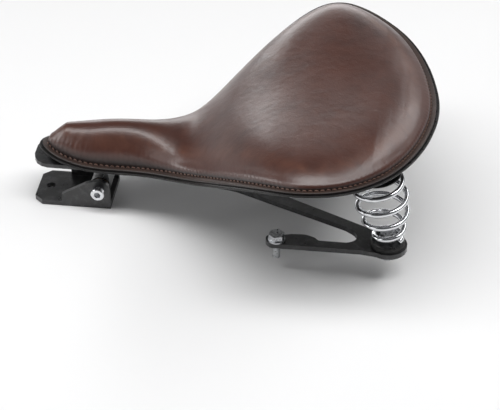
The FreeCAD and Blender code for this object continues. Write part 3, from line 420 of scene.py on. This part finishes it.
# ----------------------------------------------------------------- materials
def fill_ramp(ramp, stops):
    """Sets a colour ramp to the (position, colour) stops."""
    while len(ramp.elements) < len(stops):
        ramp.elements.new(0.5)
    for element, (position, colour) in zip(ramp.elements, stops):
        element.position = position
        element.color = (*colour, 1)


class Material:
    """A Principled material with textures in object coordinates."""

    def __init__(self, name):
        self.data = bpy.data.materials.new(name)
        self.data.use_nodes = True
        self.tree = self.data.node_tree
        self.coords = self.node("ShaderNodeTexCoord").outputs["Object"]

    def feed(self, socket, value):
        """Links a socket, or sets a number or colour."""
        if isinstance(value, bpy.types.NodeSocket):
            self.tree.links.new(value, socket)
        else:
            socket.default_value = (*value, 1) if isinstance(value, tuple) else value

    def feed_named(self, node, inputs):
        for name, value in inputs.items():
            self.feed(node.inputs[name.replace("_", " ")], value)

    def node(self, kind, **inputs):
        node = self.tree.nodes.new(kind)
        self.feed_named(node, inputs)
        return node

    def noise(self, scale, detail=3, rough=0.6, distort=0.0):
        return self.node("ShaderNodeTexNoise", Scale=scale, Detail=detail, Roughness=rough,
                         Distortion=distort, Vector=self.coords).outputs["Fac"]

    def voronoi(self, scale, feature="F1"):
        node = self.node("ShaderNodeTexVoronoi", Scale=scale, Vector=self.coords)
        node.feature = feature
        return node.outputs["Distance"]

    def cells(self, scale):
        return self.voronoi(scale, "SMOOTH_F1")

    def ramp(self, fac, stops):
        node = self.node("ShaderNodeValToRGB", Fac=fac)
        fill_ramp(node.color_ramp, stops)
        return node.outputs["Color"]

    def remap(self, value, span, to):
        """Maps the span of values onto another, clamped."""
        return self.node("ShaderNodeMapRange", Value=value, From_Min=span[0], From_Max=span[1],
                         To_Min=to[0], To_Max=to[1]).outputs["Result"]

    def patches(self, dark, light, **noise):
        """Noise between two colours."""
        return self.ramp(self.noise(**noise), [(0.3, dark), (0.7, light)])

    def uneven(self, low, high, **noise):
        """Noise between two numbers."""
        return self.remap(self.noise(**noise), span=(0.3, 0.7), to=(low, high))

    def math(self, operation, a, b):
        node = self.node("ShaderNodeMath")
        node.operation = operation
        self.feed(node.inputs[0], a)
        self.feed(node.inputs[1], b)
        return node.outputs[0]

    def add(self, a, b):
        return self.math("ADD", a, b)

    def times(self, a, b):
        return self.math("MULTIPLY", a, b)

    def mix(self, fac, a, b):
        """Colour a turning into b."""
        node = self.node("ShaderNodeMix")
        node.data_type = "RGBA"
        for index, value in ((0, fac), (6, a), (7, b)):
            self.feed(node.inputs[index], value)
        return node.outputs[2]

    def attribute(self, name):
        node = self.node("ShaderNodeAttribute")
        node.attribute_name = name
        return node.outputs["Fac"]

    def bump(self, height, strength, distance, **below):
        """A bump, over another one if Normal is given."""
        return self.node("ShaderNodeBump", Strength=strength, Distance=distance, Height=height,
                         **below).outputs["Normal"]

    def finish(self, colour, roughness, normal, **settings):
        self.feed_named(self.tree.nodes["Principled BSDF"], dict(
            settings, Base_Color=colour, Roughness=roughness, Normal=normal,
            Coat_Normal=normal))
        return self.data


def cushion_leather():
    m = Material("leather_cushion_brown")
    blotches = m.noise(scale=14, distort=0.4)
    mottling = m.noise(scale=60, detail=4, distort=0.6)
    colour = m.ramp(blotches, [(0.30, (0.032, 0.0100, 0.0066)),
                               (0.52, (0.048, 0.0148, 0.0092)),
                               (0.74, (0.064, 0.0205, 0.0125))])
    light_spots = m.remap(mottling, span=(0.35, 0.7), to=(0.0, 0.45))
    colour = m.mix(light_spots, colour, (0.078, 0.027, 0.0165))
    edge = m.attribute("edge")
    shoulder_highlight = m.attribute("shoulder_highlight")
    groove_shade = m.attribute("groove_shade")
    # painted shade: the cushion side is darkened towards the seam, where it turns down to the
    # hem
    colour = m.mix(m.remap(edge, span=(0, 1), to=(0, 0.5)), colour, (0.052, 0.0125, 0.0065))
    pores = m.remap(m.voronoi(scale=2600), span=(0.0, 0.28), to=(0.35, 0.0))
    colour = m.mix(pores, colour, (0.022, 0.008, 0.006))
    # painted highlight: a lighter, mottled band along the cushion's shoulder
    painted_highlight = m.times(m.remap(mottling, span=(0.3, 0.7), to=(0.2, 1.0)), m.times(shoulder_highlight, 0.28))
    colour = m.mix(painted_highlight, colour, (0.17, 0.075, 0.048))
    roughness = m.uneven(low=0.30, high=0.42, scale=38, detail=4)
    roughness = m.add(roughness, m.times(groove_shade, 0.25))
    # painted shade: near-black in the groove where the cushion meets the flange; the same mask
    # also raises the roughness
    colour = m.mix(m.times(groove_shade, 0.88), colour, (0.006, 0.003, 0.0025))
    small_cells = m.cells(scale=1150)
    large_cells = m.cells(scale=520)
    fine = m.noise(scale=2400)
    grain = m.add(m.times(small_cells, 0.6), m.times(large_cells, 0.35))
    grain = m.add(grain, m.times(fine, 0.30))
    normal = m.bump(grain, strength=0.16, distance=0.0005)
    waves = m.noise(scale=95, rough=0.5, distort=0.5)
    normal = m.bump(waves, strength=0.10, distance=0.0022, Normal=normal)
    return m.finish(colour, roughness, normal, Specular_IOR_Level=0.5, Coat_Weight=0.35,
                    Coat_Roughness=0.22, Coat_IOR=1.5)


def flange_leather():
    m = Material("leather_flange_brown")
    colour = m.patches(dark=(0.024, 0.0135, 0.0105), light=(0.046, 0.026, 0.0195), scale=45)
    edge_dye_and_seam_shade = m.remap(m.attribute("edge"), span=(0, 1), to=(0, 0.85))
    # dark dyed cut edge at the outside, and painted shade on the inner side that tucks under
    # the cushion hem
    colour = m.mix(edge_dye_and_seam_shade, colour, (0.014, 0.010, 0.009))
    roughness = m.uneven(low=0.40, high=0.58, scale=220, detail=4)
    grain = m.add(m.cells(scale=1100), m.times(m.noise(scale=1900), 0.5))
    normal = m.bump(grain, strength=0.28, distance=0.0005)
    waves = m.noise(scale=140, rough=0.5)
    normal = m.bump(waves, strength=0.2, distance=0.0012, Normal=normal)
    return m.finish(colour, roughness, normal, Coat_Weight=0.2, Coat_Roughness=0.35)


def base_leather():
    m = Material("leather_base_black")
    colour = m.patches(dark=(0.0055, 0.0052, 0.0052), light=(0.013, 0.012, 0.012), scale=60)
    scuffs = m.remap(m.noise(scale=240, detail=4, rough=0.7), span=(0.55, 0.75), to=(0.0, 0.5))
    colour = m.mix(scuffs, colour, (0.024, 0.020, 0.018))
    roughness = m.uneven(low=0.24, high=0.40, scale=180, detail=4)
    grain = m.add(m.cells(scale=900), m.times(m.noise(scale=1700), 0.5))
    normal = m.bump(grain, strength=0.30, distance=0.0005)
    return m.finish(colour, roughness, normal, Coat_Weight=0.06, Coat_Roughness=0.30,
                    Specular_IOR_Level=0.25)


def waxed_thread():
    m = Material("waxed_thread_brown")
    colour = m.patches(dark=(0.085, 0.036, 0.022), light=(0.19, 0.092, 0.060), scale=500)
    twist = m.node("ShaderNodeTexWave", Scale=900, Distortion=1.5, Vector=m.coords)
    normal = m.bump(twist.outputs["Fac"], strength=0.5, distance=0.0002)
    return m.finish(colour, 0.5, normal, Sheen_Weight=0.3)


def powder_coat():
    m = Material("powder_coat_black")
    colour = m.patches(dark=(0.0085, 0.0085, 0.009), light=(0.0145, 0.0145, 0.015), scale=35)
    pointiness = m.node("ShaderNodeNewGeometry").outputs["Pointiness"]
    edges = m.remap(pointiness, span=(0.53, 0.60), to=(0.0, 1.0))
    flecks = m.remap(m.noise(scale=160, detail=4, rough=0.7), span=(0.5, 0.65), to=(0.0, 0.5))
    colour = m.mix(m.times(edges, flecks), colour, (0.06, 0.06, 0.062))
    roughness = m.uneven(low=0.26, high=0.38, scale=90, detail=4)
    normal = m.bump(m.noise(scale=1500, detail=2, rough=0.5), strength=0.16, distance=0.0004)
    return m.finish(colour, roughness, normal, Coat_Weight=0.35, Coat_Roughness=0.14)


def polished_chrome():
    m = Material("polished_chrome")
    colour = m.patches(dark=(0.64, 0.65, 0.67), light=(0.80, 0.81, 0.83), scale=90)
    dirt = m.remap(m.noise(scale=260, detail=5, rough=0.7), span=(0.58, 0.75), to=(0.0, 0.45))
    colour = m.mix(dirt, colour, (0.30, 0.29, 0.28))
    haze = m.noise(scale=300, detail=5, rough=0.7)
    roughness = m.remap(haze, span=(0.35, 0.75), to=(0.045, 0.16))
    normal = m.bump(m.noise(scale=700), strength=0.05, distance=0.0003)
    return m.finish(colour, roughness, normal, Metallic=1.0)


def zinc_plate():
    m = Material("zinc_plate")
    colour = m.patches(dark=(0.40, 0.41, 0.43), light=(0.60, 0.61, 0.62),
                       scale=420, detail=4, rough=0.7)
    roughness = m.uneven(low=0.20, high=0.42, scale=500, detail=4, rough=0.7)
    normal = m.bump(m.noise(scale=1100), strength=0.18, distance=0.0003)
    return m.finish(colour, roughness, normal, Metallic=1.0)


def bushing_bronze():
    m = Material("bushing_bronze")
    colour = m.patches(dark=(0.34, 0.20, 0.08), light=(0.52, 0.33, 0.14),
                       scale=300, detail=4, rough=0.7)
    roughness = m.uneven(low=0.22, high=0.45, scale=600, detail=4, rough=0.7)
    normal = m.bump(m.noise(scale=1400), strength=0.15, distance=0.0003)
    return m.finish(colour, roughness, normal, Metallic=1.0)


def isolator_rubber():
    m = Material("isolator_rubber")
    colour = m.patches(dark=(0.012, 0.012, 0.012), light=(0.024, 0.023, 0.022),
                       scale=120, detail=4, rough=0.7)
    roughness = m.uneven(low=0.62, high=0.85, scale=300, detail=4, rough=0.7)
    normal = m.bump(m.noise(scale=900, detail=4), strength=0.35, distance=0.0004)
    return m.finish(colour, roughness, normal)


def pan_primer():
    m = Material("pan_primer")
    colour = m.patches(dark=(0.020, 0.020, 0.021), light=(0.038, 0.037, 0.036),
                       scale=70, detail=4)
    roughness = m.uneven(low=0.42, high=0.62, scale=200, detail=4)
    normal = m.bump(m.noise(scale=1300), strength=0.2, distance=0.0004)
    return m.finish(colour, roughness, normal)


CUSHION, FLANGE, BASE, THREAD = (
    cushion_leather(), flange_leather(), base_leather(), waxed_thread())
BLACK, CHROME, ZINC, BRONZE = powder_coat(), polished_chrome(), zinc_plate(), bushing_bronze()
RUBBER, PRIMER = isolator_rubber(), pan_primer()


def give(ob, material):
    ob.data.materials.clear()
    ob.data.materials.append(material)


def hand_over(ob, material, slot, *replaced):
    """Finishes a piece that moves with the seat."""
    give(ob, material)
    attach(ob, "seat")
    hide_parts(*replaced)


# ------------------------------------------------------------------- cushion
# Rings near the seam, in mm from it: close together at the hem, wider inside
NEAR_RINGS = [0.0, 0.35, 0.8, 1.3, 1.9, 2.6, 3.4, 4.3, 5.3, 6.4, 7.6, 9.0, 10.5, 12.2, 14.0]
FAR_RINGS = 34                  # from the last of those to the spine
RINGS = len(NEAR_RINGS) + FAR_RINGS
SWELL_CAP = 2.6                 # most that the cloth may raise or lower the cushion
HEM_LIFTS = (-1.45, -0.65)      # two rings tucked under the hem
UNDER_FRACTIONS = (0.25, 0.6, 1.0)


def cushion_rings():
    """XY of the rings from the seam to the spine, and their distances to the seam."""
    depth = np.maximum(np.linalg.norm(SPINE - SEAM, axis=1), 16.0)
    shares = [near / depth for near in NEAR_RINGS]
    last = shares[-1]
    for j in range(1, FAR_RINGS):
        u = j / FAR_RINGS
        shares.append(last + (1 - last) * (0.55 * u + 0.45 * u * u))
    shares.append(np.ones(SEAM_POINTS))
    rings = np.array([SEAM + (SPINE - SEAM) * share[:, None] for share in shares])
    distance = distance_to(rings.reshape(-1, 2), SEAM[::2]).reshape(RINGS, SEAM_POINTS)
    return rings, distance


def closed_cushion(surface):
    """A coarse remeshed solid of the cushion for the cloth."""
    n = SEAM_POINTS
    under = rows_to_spine(surface[0], SPINE, (0.0, 0.5, 1.0), -0.5)
    low = RINGS * n
    faces = loop_faces(n, RINGS) + band_faces(low, 0, n)
    for start in (low + n, low + 2 * n):
        faces += band_faces(start, start - n, n)
    ob = make_mesh("sim_cushion", np.vstack([surface.reshape(-1, 3)] + under), faces)
    clean_mesh(ob)
    clean_mesh(ob, merge=0.0006, fill=True)
    bpy.context.view_layer.objects.active = ob
    ob.select_set(True)
    remesh = ob.modifiers.new("remesh", "REMESH")
    remesh.mode = "VOXEL"
    remesh.voxel_size = 0.0052
    bpy.ops.object.modifier_apply(modifier=remesh.name)
    return ob


def vertex_array(mesh):
    return np.array([v.co for v in mesh.vertices], float)


def inflate(ob, frames=20, pinned_below=2.2):
    """Runs pressure-filled cloth pinned at the hem; returns the moved vertices."""
    rest = vertex_array(ob.data)
    heights = rest[:, 2] / MM - sheet_z(rest[:, 0] / MM, rest[:, 1] / MM)
    pins = ob.vertex_groups.new(name="pin")
    for i, height in enumerate(heights):
        if height < pinned_below:
            pins.add([i], 1.0, "REPLACE")
    cloth = ob.modifiers.new("cloth", "CLOTH")
    settings = cloth.settings
    settings.quality = 6
    settings.mass = 0.35
    settings.tension_stiffness = 30
    settings.compression_stiffness = 30
    settings.shear_stiffness = 15
    settings.bending_stiffness = 8
    settings.use_pressure = True
    settings.uniform_pressure_force = 4.0
    settings.effector_weights.gravity = 0.0
    settings.vertex_group_mass = "pin"
    cloth.collision_settings.use_collision = False
    for number in range(1, frames + 1):
        bpy.context.scene.frame_set(number)
    evaluated = ob.evaluated_get(bpy.context.evaluated_depsgraph_get())
    return rest, vertex_array(evaluated.data)


def swell_samples(surface, rest, moved, faces):
    """Rows of x, y and the cloth's rise, in mm."""
    before, after = (BVHTree.FromPolygons([tuple(v) for v in verts], faces)
                     for verts in (rest, moved))
    down = Vector((0, 0, -1))
    samples = []
    for j in range(len(NEAR_RINGS) - 6, RINGS, 2):
        for i in range(0, SEAM_POINTS, 4):
            x, y = surface[j, i, :2]
            origin = Vector((x * MM, y * MM, 0.4))
            hit_before = before.ray_cast(origin, down)[0]
            hit_after = after.ray_cast(origin, down)[0]
            if hit_before is not None and hit_after is not None:
                samples.append((x, y, (hit_after.z - hit_before.z) / MM))
    return np.array(samples)


def swell_field(samples, cell=10.0):
    """The rise as a smooth grid: the median in each square, mirrored, filled, blurred."""
    grid_x = np.arange(-60.0, 400.0, cell)
    grid_y = np.arange(-200.0, 200.1, cell)
    field = np.full((len(grid_x), len(grid_y)), np.nan)
    column = np.round((samples[:, 0] - grid_x[0]) / cell).astype(int)
    row = np.round((samples[:, 1] - grid_y[0]) / cell).astype(int)
    key = column * len(grid_y) + row
    for k in np.unique(key):
        field[k // len(grid_y), k % len(grid_y)] = np.median(samples[key == k, 2])
    field = 0.5 * (field + field[:, ::-1])
    for _ in range(80):
        beside = np.stack(neighbours(field))
        count = (~np.isnan(beside)).sum(0)
        mean = np.where(count > 0, np.nansum(beside, axis=0) / np.maximum(count, 1), np.nan)
        field = np.where(np.isnan(field), mean, field)
    field = np.nan_to_num(field)
    for _ in range(6):
        field = 0.5 * field + 0.125 * sum(neighbours(field))
    return grid_x, grid_y, field


def cloth_swell(surface):
    """Height change of every cushion point when the cushion is inflated."""
    ob = closed_cushion(surface)
    rest, moved = inflate(ob)
    faces = [tuple(p.vertices) for p in ob.data.polygons]
    samples = swell_samples(surface, rest, moved, faces)
    bpy.data.objects.remove(ob, do_unlink=True)
    bpy.context.scene.frame_set(1)
    return bilinear(*swell_field(samples), surface[:, :, 0], surface[:, :, 1])


def push_out(surface, amount):
    """Moves the cushion points sideways along the seam's normals."""
    surface[:, :, 0] += SEAM_NORMALS[None, :, 0] * amount
    surface[:, :, 1] += SEAM_NORMALS[None, :, 1] * amount


def gather_hem(surface, distance):
    """Gathers between the stitches, fading out inwards, and the hem's bulge."""
    arc = np.arange(SEAM_POINTS) / SEAM_POINTS * SEAM_LENGTH
    strength = 0.55 + 0.45 * np.interp(arc, np.linspace(0, SEAM_LENGTH, 60),
                                       np.r_[rng.random(59), 0.5])
    strength = smooth_closed(strength[:, None], 20)[:, 0]
    nose = 1 - smoothstep(20, 90, SEAM[:, 0] - NOSE_X)
    strength = strength * (0.8 + 0.7 * nose)
    # 0 at the start of each pitch, 1 half a pitch on
    pucker = (0.5 - 0.5 * np.cos(2 * PI * (arc / PITCH))) ** 0.8
    fade = np.exp(-(distance / (2.3 + 1.3 * nose[None])) ** 1.3)
    surface[:, :, 2] += ((pucker[None] - 0.5) * 0.62 * strength[None] * fade
                         * smoothstep(0.0, 1.2, distance))
    push_out(surface, (pucker[None] - 0.45) * 0.42 * strength[None]
             * np.exp(-(distance / 2.4) ** 1.4))
    # longer soft pull lines, about two pitches apart
    wave = arc / (PITCH * 2.0) + 0.35 * np.sin(arc / 37.0)
    pull = (np.sin(2 * PI * wave) * np.exp(-((distance - 5.0) / 5.5) ** 2)
            * (0.03 + 0.10 * nose[None]))
    surface[:, :, 2] += pull * strength[None]
    # the padding bulges a little over the hem
    push_out(surface, 0.9 * np.exp(-((distance - 2.4) / 1.9) ** 2))
    # the first ring runs just inside the seam
    surface[0, :, :2] = SEAM - SEAM_NORMALS * 0.25
    surface[0, :, 2] = sheet_z(SEAM[:, 0], SEAM[:, 1]) + 0.35 + 0.35 * (pucker - 0.5) * strength


def build_cushion():
    rings, distance = cushion_rings()
    x, y = rings[..., 0], rings[..., 1]
    surface = np.dstack((x, y, sheet_z(x, y) + cushion_height(x, y, distance)))
    swell = cloth_swell(surface)
    level = np.median(swell[-8:]) * 0.6
    swell = SWELL_CAP * np.tanh((swell - level) / SWELL_CAP)
    surface[:, :, 2] += swell * smoothstep(3, 14, distance)
    gather_hem(surface, distance)

    hem = [on_sheet(SEAM + SEAM_NORMALS * -0.45, lift) for lift in HEM_LIFTS]
    under = rows_to_spine(hem[0], SPINE, UNDER_FRACTIONS, 0.15)
    stack = under[::-1] + hem + list(surface)
    ob = make_mesh("cushion_leather", np.vstack(stack), loop_faces(SEAM_POINTS, len(stack)))

    hidden = (len(under) + len(hem)) * SEAM_POINTS
    distance, x = distance.ravel(), x.ravel()
    # the painted highlight band lies further in behind the nose
    highlight_at = 9 + 7 * np.clip((x - NOSE_X - 90.0) / 110.0, 0, 1)
    # painted shade: the edge mask darkens the cushion towards the seam, and fully on the hidden
    # tuck and underside
    attribute(ob, "edge", np.r_[np.ones(hidden), np.exp(-(distance / 7.5) ** 1.6)])
    attribute(ob, "shoulder_highlight", np.r_[np.zeros(hidden), np.exp(-((distance - highlight_at) / 6.0) ** 2)])
    # painted shade: the groove mask is full on the hidden tuck and underside, and falls off
    # within a millimetre of the seam
    attribute(ob, "groove_shade", np.r_[np.ones(hidden), np.exp(-(distance / 1.0) ** 2)])
    clean_mesh(ob, merge=0.00012, fill=True)
    hand_over(ob, CUSHION, "cushion_leather", "cushion_cover", "foam_pad")


build_cushion()

# ------------------------------------------------------------ leather sheets
OUTER, _ = offset_loop(0.0, FLANGE_POINTS)
# Section of the flange ring: inset from the outline, lift over the sheet, edge darkening (dyed
# cut edge outside, painted shade where it turns down under the cushion at the seam)
FLANGE_SECTION = [
    (3.05, -2.0, 1), (3.0, -1.2, 1), (3.05, -0.5, 0.9), (3.3, -0.12, 0.6), (3.8, 0.02, 0.25),
    (5.0, 0.06, 0.05), (6.5, 0.04, 0), (7.6, 0.0, 0.1), (8.1, -0.15, 0.5), (8.45, -0.6, 1),
    (8.5, -1.3, 1), (8.45, -2.0, 1)]
# Rim of the base sheet, from its top round the edge to its underside: inset, lift
BASE_TOP, BASE_BOTTOM = -2.2, -4.22
BASE_RIM = [
    (14.0, BASE_TOP), (5.0, BASE_TOP), (3.2, -2.15), (1.0, -2.15), (0.45, -2.28), (0.1, -2.65),
    (0.0, -3.1), (0.1, -3.6), (0.4, -4.0), (1.0, -4.2), (4.0, BASE_BOTTOM), (14.0, BASE_BOTTOM)]


def inset_ring(inset, lift):
    """Loop inside the outline, matched to it point by point."""
    loop, _ = offset_loop(inset, 3000)
    nearest = np.empty(len(OUTER), int)
    for i in range(0, len(OUTER), 300):
        nearest[i:i + 300] = ((OUTER[i:i + 300, None] - loop[None]) ** 2).sum(2).argmin(1)
    return on_sheet(smooth_closed(loop[nearest], 3), lift)


def build_flange():
    rings = [inset_ring(inset, lift) for inset, lift, _ in FLANGE_SECTION]
    ob = make_mesh("flange_leather_ring", np.vstack(rings),
                   loop_faces(FLANGE_POINTS, len(rings), closed=True))
    attribute(ob, "edge", np.repeat([edge for _, _, edge in FLANGE_SECTION], FLANGE_POINTS))
    clean_mesh(ob)
    hand_over(ob, FLANGE, "flange_leather", "flange_leather")


def build_base():
    rim = [inset_ring(inset, lift) for inset, lift in BASE_RIM]
    spine = spine_points(OUTER[:, 0])
    top = rows_to_spine(rim[0], spine, (0.2, 0.4, 0.6, 0.8, 1.0), BASE_TOP)
    bottom = rows_to_spine(rim[-1], spine, (0.1, 0.2, 0.3, 0.4, 0.5, 0.6, 0.7, 0.8, 0.9, 1.0),
                           BASE_BOTTOM)
    stack = top[::-1] + rim + bottom
    ob = make_mesh("base_leather_sheet", np.vstack(stack),
                   loop_faces(FLANGE_POINTS, len(stack)))
    clean_mesh(ob, merge=0.00012, fill=True)
    hand_over(ob, BASE, "base_leather", "base_leather")


build_flange()
build_base()

# ------------------------------------------------------------------ stitching
STITCH_RADII = [0.30, 0.42, 0.50, 0.53, 0.54, 0.53, 0.50, 0.42, 0.30]
STITCH_OUT = 0.42               # from the seam to the row of stitches, and their slant
STITCH_ARCH = 0.62
STITCH_JITTER = 0.10


def stitch(number):
    """One slanted stitch arched over the flange, its ends dipping into the leather."""
    middle = (number + 0.5) * PITCH / SEAM_LENGTH * SEAM_POINTS
    half_length = PITCH * 0.34 / SEAM_LENGTH * SEAM_POINTS
    jitter = rng.normal(0, STITCH_JITTER)
    along = np.linspace(-1, 1, len(STITCH_RADII))
    at = (middle + along * half_length) % SEAM_POINTS
    whole = at.astype(int)
    share = (at - whole)[:, None]
    a, b = whole % SEAM_POINTS, (whole + 1) % SEAM_POINTS
    points = SEAM[a] * (1 - share) + SEAM[b] * share
    outward = SEAM_NORMALS[a] * (1 - share) + SEAM_NORMALS[b] * share
    points = points + outward * (STITCH_OUT + jitter - STITCH_OUT * along)[:, None]
    arch = STITCH_ARCH * (1 - abs(along) ** 2.6) - STITCH_ARCH * abs(along) ** 8
    return tube_data(on_sheet(points, 0.18 + arch), STITCH_RADII, sides=8)


def build_stitching():
    parts = [stitch(number) for number in range(STITCHES)]
    # the thread that runs on below the stitches
    below = on_sheet(SEAM + SEAM_NORMALS * STITCH_OUT, -0.75)[::2]
    parts.append(tube_data(below, 0.3, sides=6, closed=True))
    ob = make_mesh("seam_stitches", *join_data(parts))
    clean_mesh(ob)
    hand_over(ob, THREAD, "thread", "seam_thread")


build_stitching()

# -------------------------------------------------------------------- springs
SPRING_X, SPRING_Y = 313.6, 88.0        # foot of a spring's axis
SPRING_LOW, SPRING_HIGH = 38.6, 103.2   # heights of the wire's ends
SPRING_SHIFT = -12.0                    # of the axis in x, from foot to top
SPRING_TILT = math.radians(7.5)         # of the top coil
COIL_LOW, COIL_HIGH = 12.4, 20.0        # least coil radius near the foot and the top
WIRE_RADIUS = 2.5
TURN_START, TURN_END = -0.85, 3.95
END_PITCH_LOW, END_PITCH_HIGH = 1.4, 1.8    # rise per turn of the flattened end coils
WIRE_END = (0.80, 0.93, 0.985)          # rounding of the wire's ends, from the tip


def soft_max(a, b, width):
    overlap = max(width - abs(a - b), 0.0)
    return max(a, b) + overlap * overlap / (4 * width)


def spring_path(side, steps=620):
    points = []
    for i in range(steps + 1):
        turn = TURN_START + (TURN_END - TURN_START) * i / steps
        angle = math.radians(270.0) + 2 * PI * turn
        z = 44.86 + 16.93 * turn - 0.12 * turn * turn
        z = soft_max(z, SPRING_LOW + END_PITCH_LOW * (turn - TURN_START), 2.0)
        z = -soft_max(-z, -(SPRING_HIGH - END_PITCH_HIGH * (TURN_END - turn)), 2.0)
        radius = soft_max(14.22 + 7.77 * turn - 1.72 * turn * turn,
                          COIL_LOW if turn < 1.5 else COIL_HIGH, 1.2)
        up = (z - SPRING_LOW) / (SPRING_HIGH - SPRING_LOW)
        tilt = SPRING_TILT * up
        reach = math.cos(angle) * radius
        points.append((SPRING_X + SPRING_SHIFT * up + reach * math.cos(tilt),
                       side + math.sin(angle) * radius,
                       z + reach * math.sin(tilt)))
    return points


def build_spring(name, side):
    path = spring_path(side)
    radii = np.full(len(path), WIRE_RADIUS)
    for i, share in enumerate(WIRE_END):
        radii[i] = radii[-1 - i] = WIRE_RADIUS * share
    ob = make_mesh("spring_%s_wire" % name, *tube_data(path, radii, sides=20))
    clean_mesh(ob)
    give(ob, CHROME)
    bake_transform(ob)
    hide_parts("spring_" + name)


build_spring("left", -SPRING_Y)
build_spring("right", SPRING_Y)

# ------------------------------------------------------ carried-over CAD nodes
FINISHES = [
    (PRIMER, ("seat_pan",)),
    (ZINC, ("pan_studs", "strap_spacers", "stud_washers", "stud_nuts", "plate_rivets",
            "upper_spring_bolts", "pan_weld_nuts", "plate_mount_bolts",
            "plate_mount_washers", "lower_spring_bolts", "lower_spring_washers",
            "lower_spring_nuts")),
    (BLACK, ("front_strap", "upper_spring_plates", "upper_spring_cups", "front_bracket",
             "base_plate", "lower_spring_cups")),
    (BRONZE, ("pivot_bushings",)),
    (CHROME, ("pivot_bolt", "pivot_washers", "pivot_lock_nut")),
    (RUBBER, ("spring_isolators",)),
]
for material, names in FINISHES:
    for name in names:
        give(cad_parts[name], material)

for name in ("front_strap", "front_bracket", "base_plate"):
    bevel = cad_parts[name].modifiers.new("edge", "BEVEL")
    bevel.width = 0.0008
    bevel.segments = 2
    bevel.limit_method = "ANGLE"
    bevel.angle_limit = math.radians(40)


# ---------------------------------------------------------------------- stage
def floor(half=30.0, z=-0.0006):
    mesh = bpy.data.meshes.new("floor")
    corners = [(-half, -half, z), (half, -half, z), (half, half, z), (-half, half, z)]
    mesh.from_pydata(corners, [], [(0, 1, 2, 3)])
    ob = bpy.data.objects.new("floor", mesh)
    bpy.context.scene.collection.objects.link(ob)
    material = bpy.data.materials.new("floor")
    material.use_nodes = True
    inputs = material.node_tree.nodes["Principled BSDF"].inputs
    inputs["Base Color"].default_value = (0.80, 0.80, 0.80, 1)
    inputs["Roughness"].default_value = 0.9
    inputs["Specular IOR Level"].default_value = 0.1
    mesh.materials.append(material)


# Studio backdrop: upward component of the direction, colour
SKY = [
    (0.0, (0.62, 0.62, 0.63)), (0.12, (0.42, 0.42, 0.425)), (0.34, (0.10, 0.10, 0.103)),
    (0.80, (0.09, 0.09, 0.093)), (1.0, (0.25, 0.25, 0.26))]


def studio():
    world = bpy.data.worlds.new("studio")
    bpy.context.scene.world = world
    world.use_nodes = True
    nodes, links = world.node_tree.nodes, world.node_tree.links
    background = nodes["Background"]
    coords = nodes.new("ShaderNodeTexCoord")
    split = nodes.new("ShaderNodeSeparateXYZ")
    links.new(coords.outputs["Generated"], split.inputs["Vector"])
    ramp = nodes.new("ShaderNodeValToRGB")
    fill_ramp(ramp.color_ramp, SKY)
    links.new(split.outputs["Z"], ramp.inputs["Fac"])
    links.new(ramp.outputs["Color"], background.inputs["Color"])
    background.inputs["Strength"].default_value = 1.0


# Area lights: name, place, target, width, height, watts
LIGHTS = [
    ("overhead", (-0.05, -0.22, 1.65), (-0.05, -0.22, 0.0), 3.5, 0.5, 38),
    ("right_strip", (1.62, 1.55, 1.65), (1.62, 1.55, 0.0), 0.6, 3.3, 30),
    ("left_strip", (-2.3, 0.10, 0.75), (0.0, 0.10, 0.75), 1.0, 1.3, 14),
    ("back_card", (-0.35, 2.7, 0.6), (0.1, 0, 0.15), 2.0, 0.9, 15),
    ("left_fill", (-1.5, -1.0, 0.9), (0.15, 0, 0.08), 0.9, 0.9, 4),
]


def area_light(name, place, target, width, height, watts):
    light = bpy.data.lights.new(name, "AREA")
    light.shape = "RECTANGLE"
    light.size, light.size_y = width, height
    light.energy = watts
    ob = bpy.data.objects.new(name, light)
    ob.location = place
    aim = Vector(target) - Vector(place)
    ob.rotation_euler = aim.to_track_quat("-Z", "Y").to_euler()
    bpy.context.scene.collection.objects.link(ob)


# The camera looks down by 36 degrees from the seat's left, turned 7 degrees about Z
CAMERA_PLACE = (0.3470, -1.3923, 1.0172)
CAMERA_RIGHT = (0.992546, 0.121869, 0.0)
CAMERA_UP = (-0.071633, 0.583404, 0.809017)
CAMERA_BACK = (0.098594, -0.802987, 0.587785)


def camera():
    data = bpy.data.cameras.new("camera")
    data.sensor_width = 36.0
    data.lens = 128.52
    data.clip_end = 100.0
    ob = bpy.data.objects.new("camera", data)
    pose = Matrix((CAMERA_RIGHT, CAMERA_UP, CAMERA_BACK)).transposed().to_4x4()
    pose.translation = CAMERA_PLACE
    ob.matrix_world = pose
    bpy.context.scene.collection.objects.link(ob)
    bpy.context.scene.camera = ob


floor()
studio()
for light_row in LIGHTS:
    area_light(*light_row)
camera()
bpy.context.scene.view_settings.view_transform = "Standard"
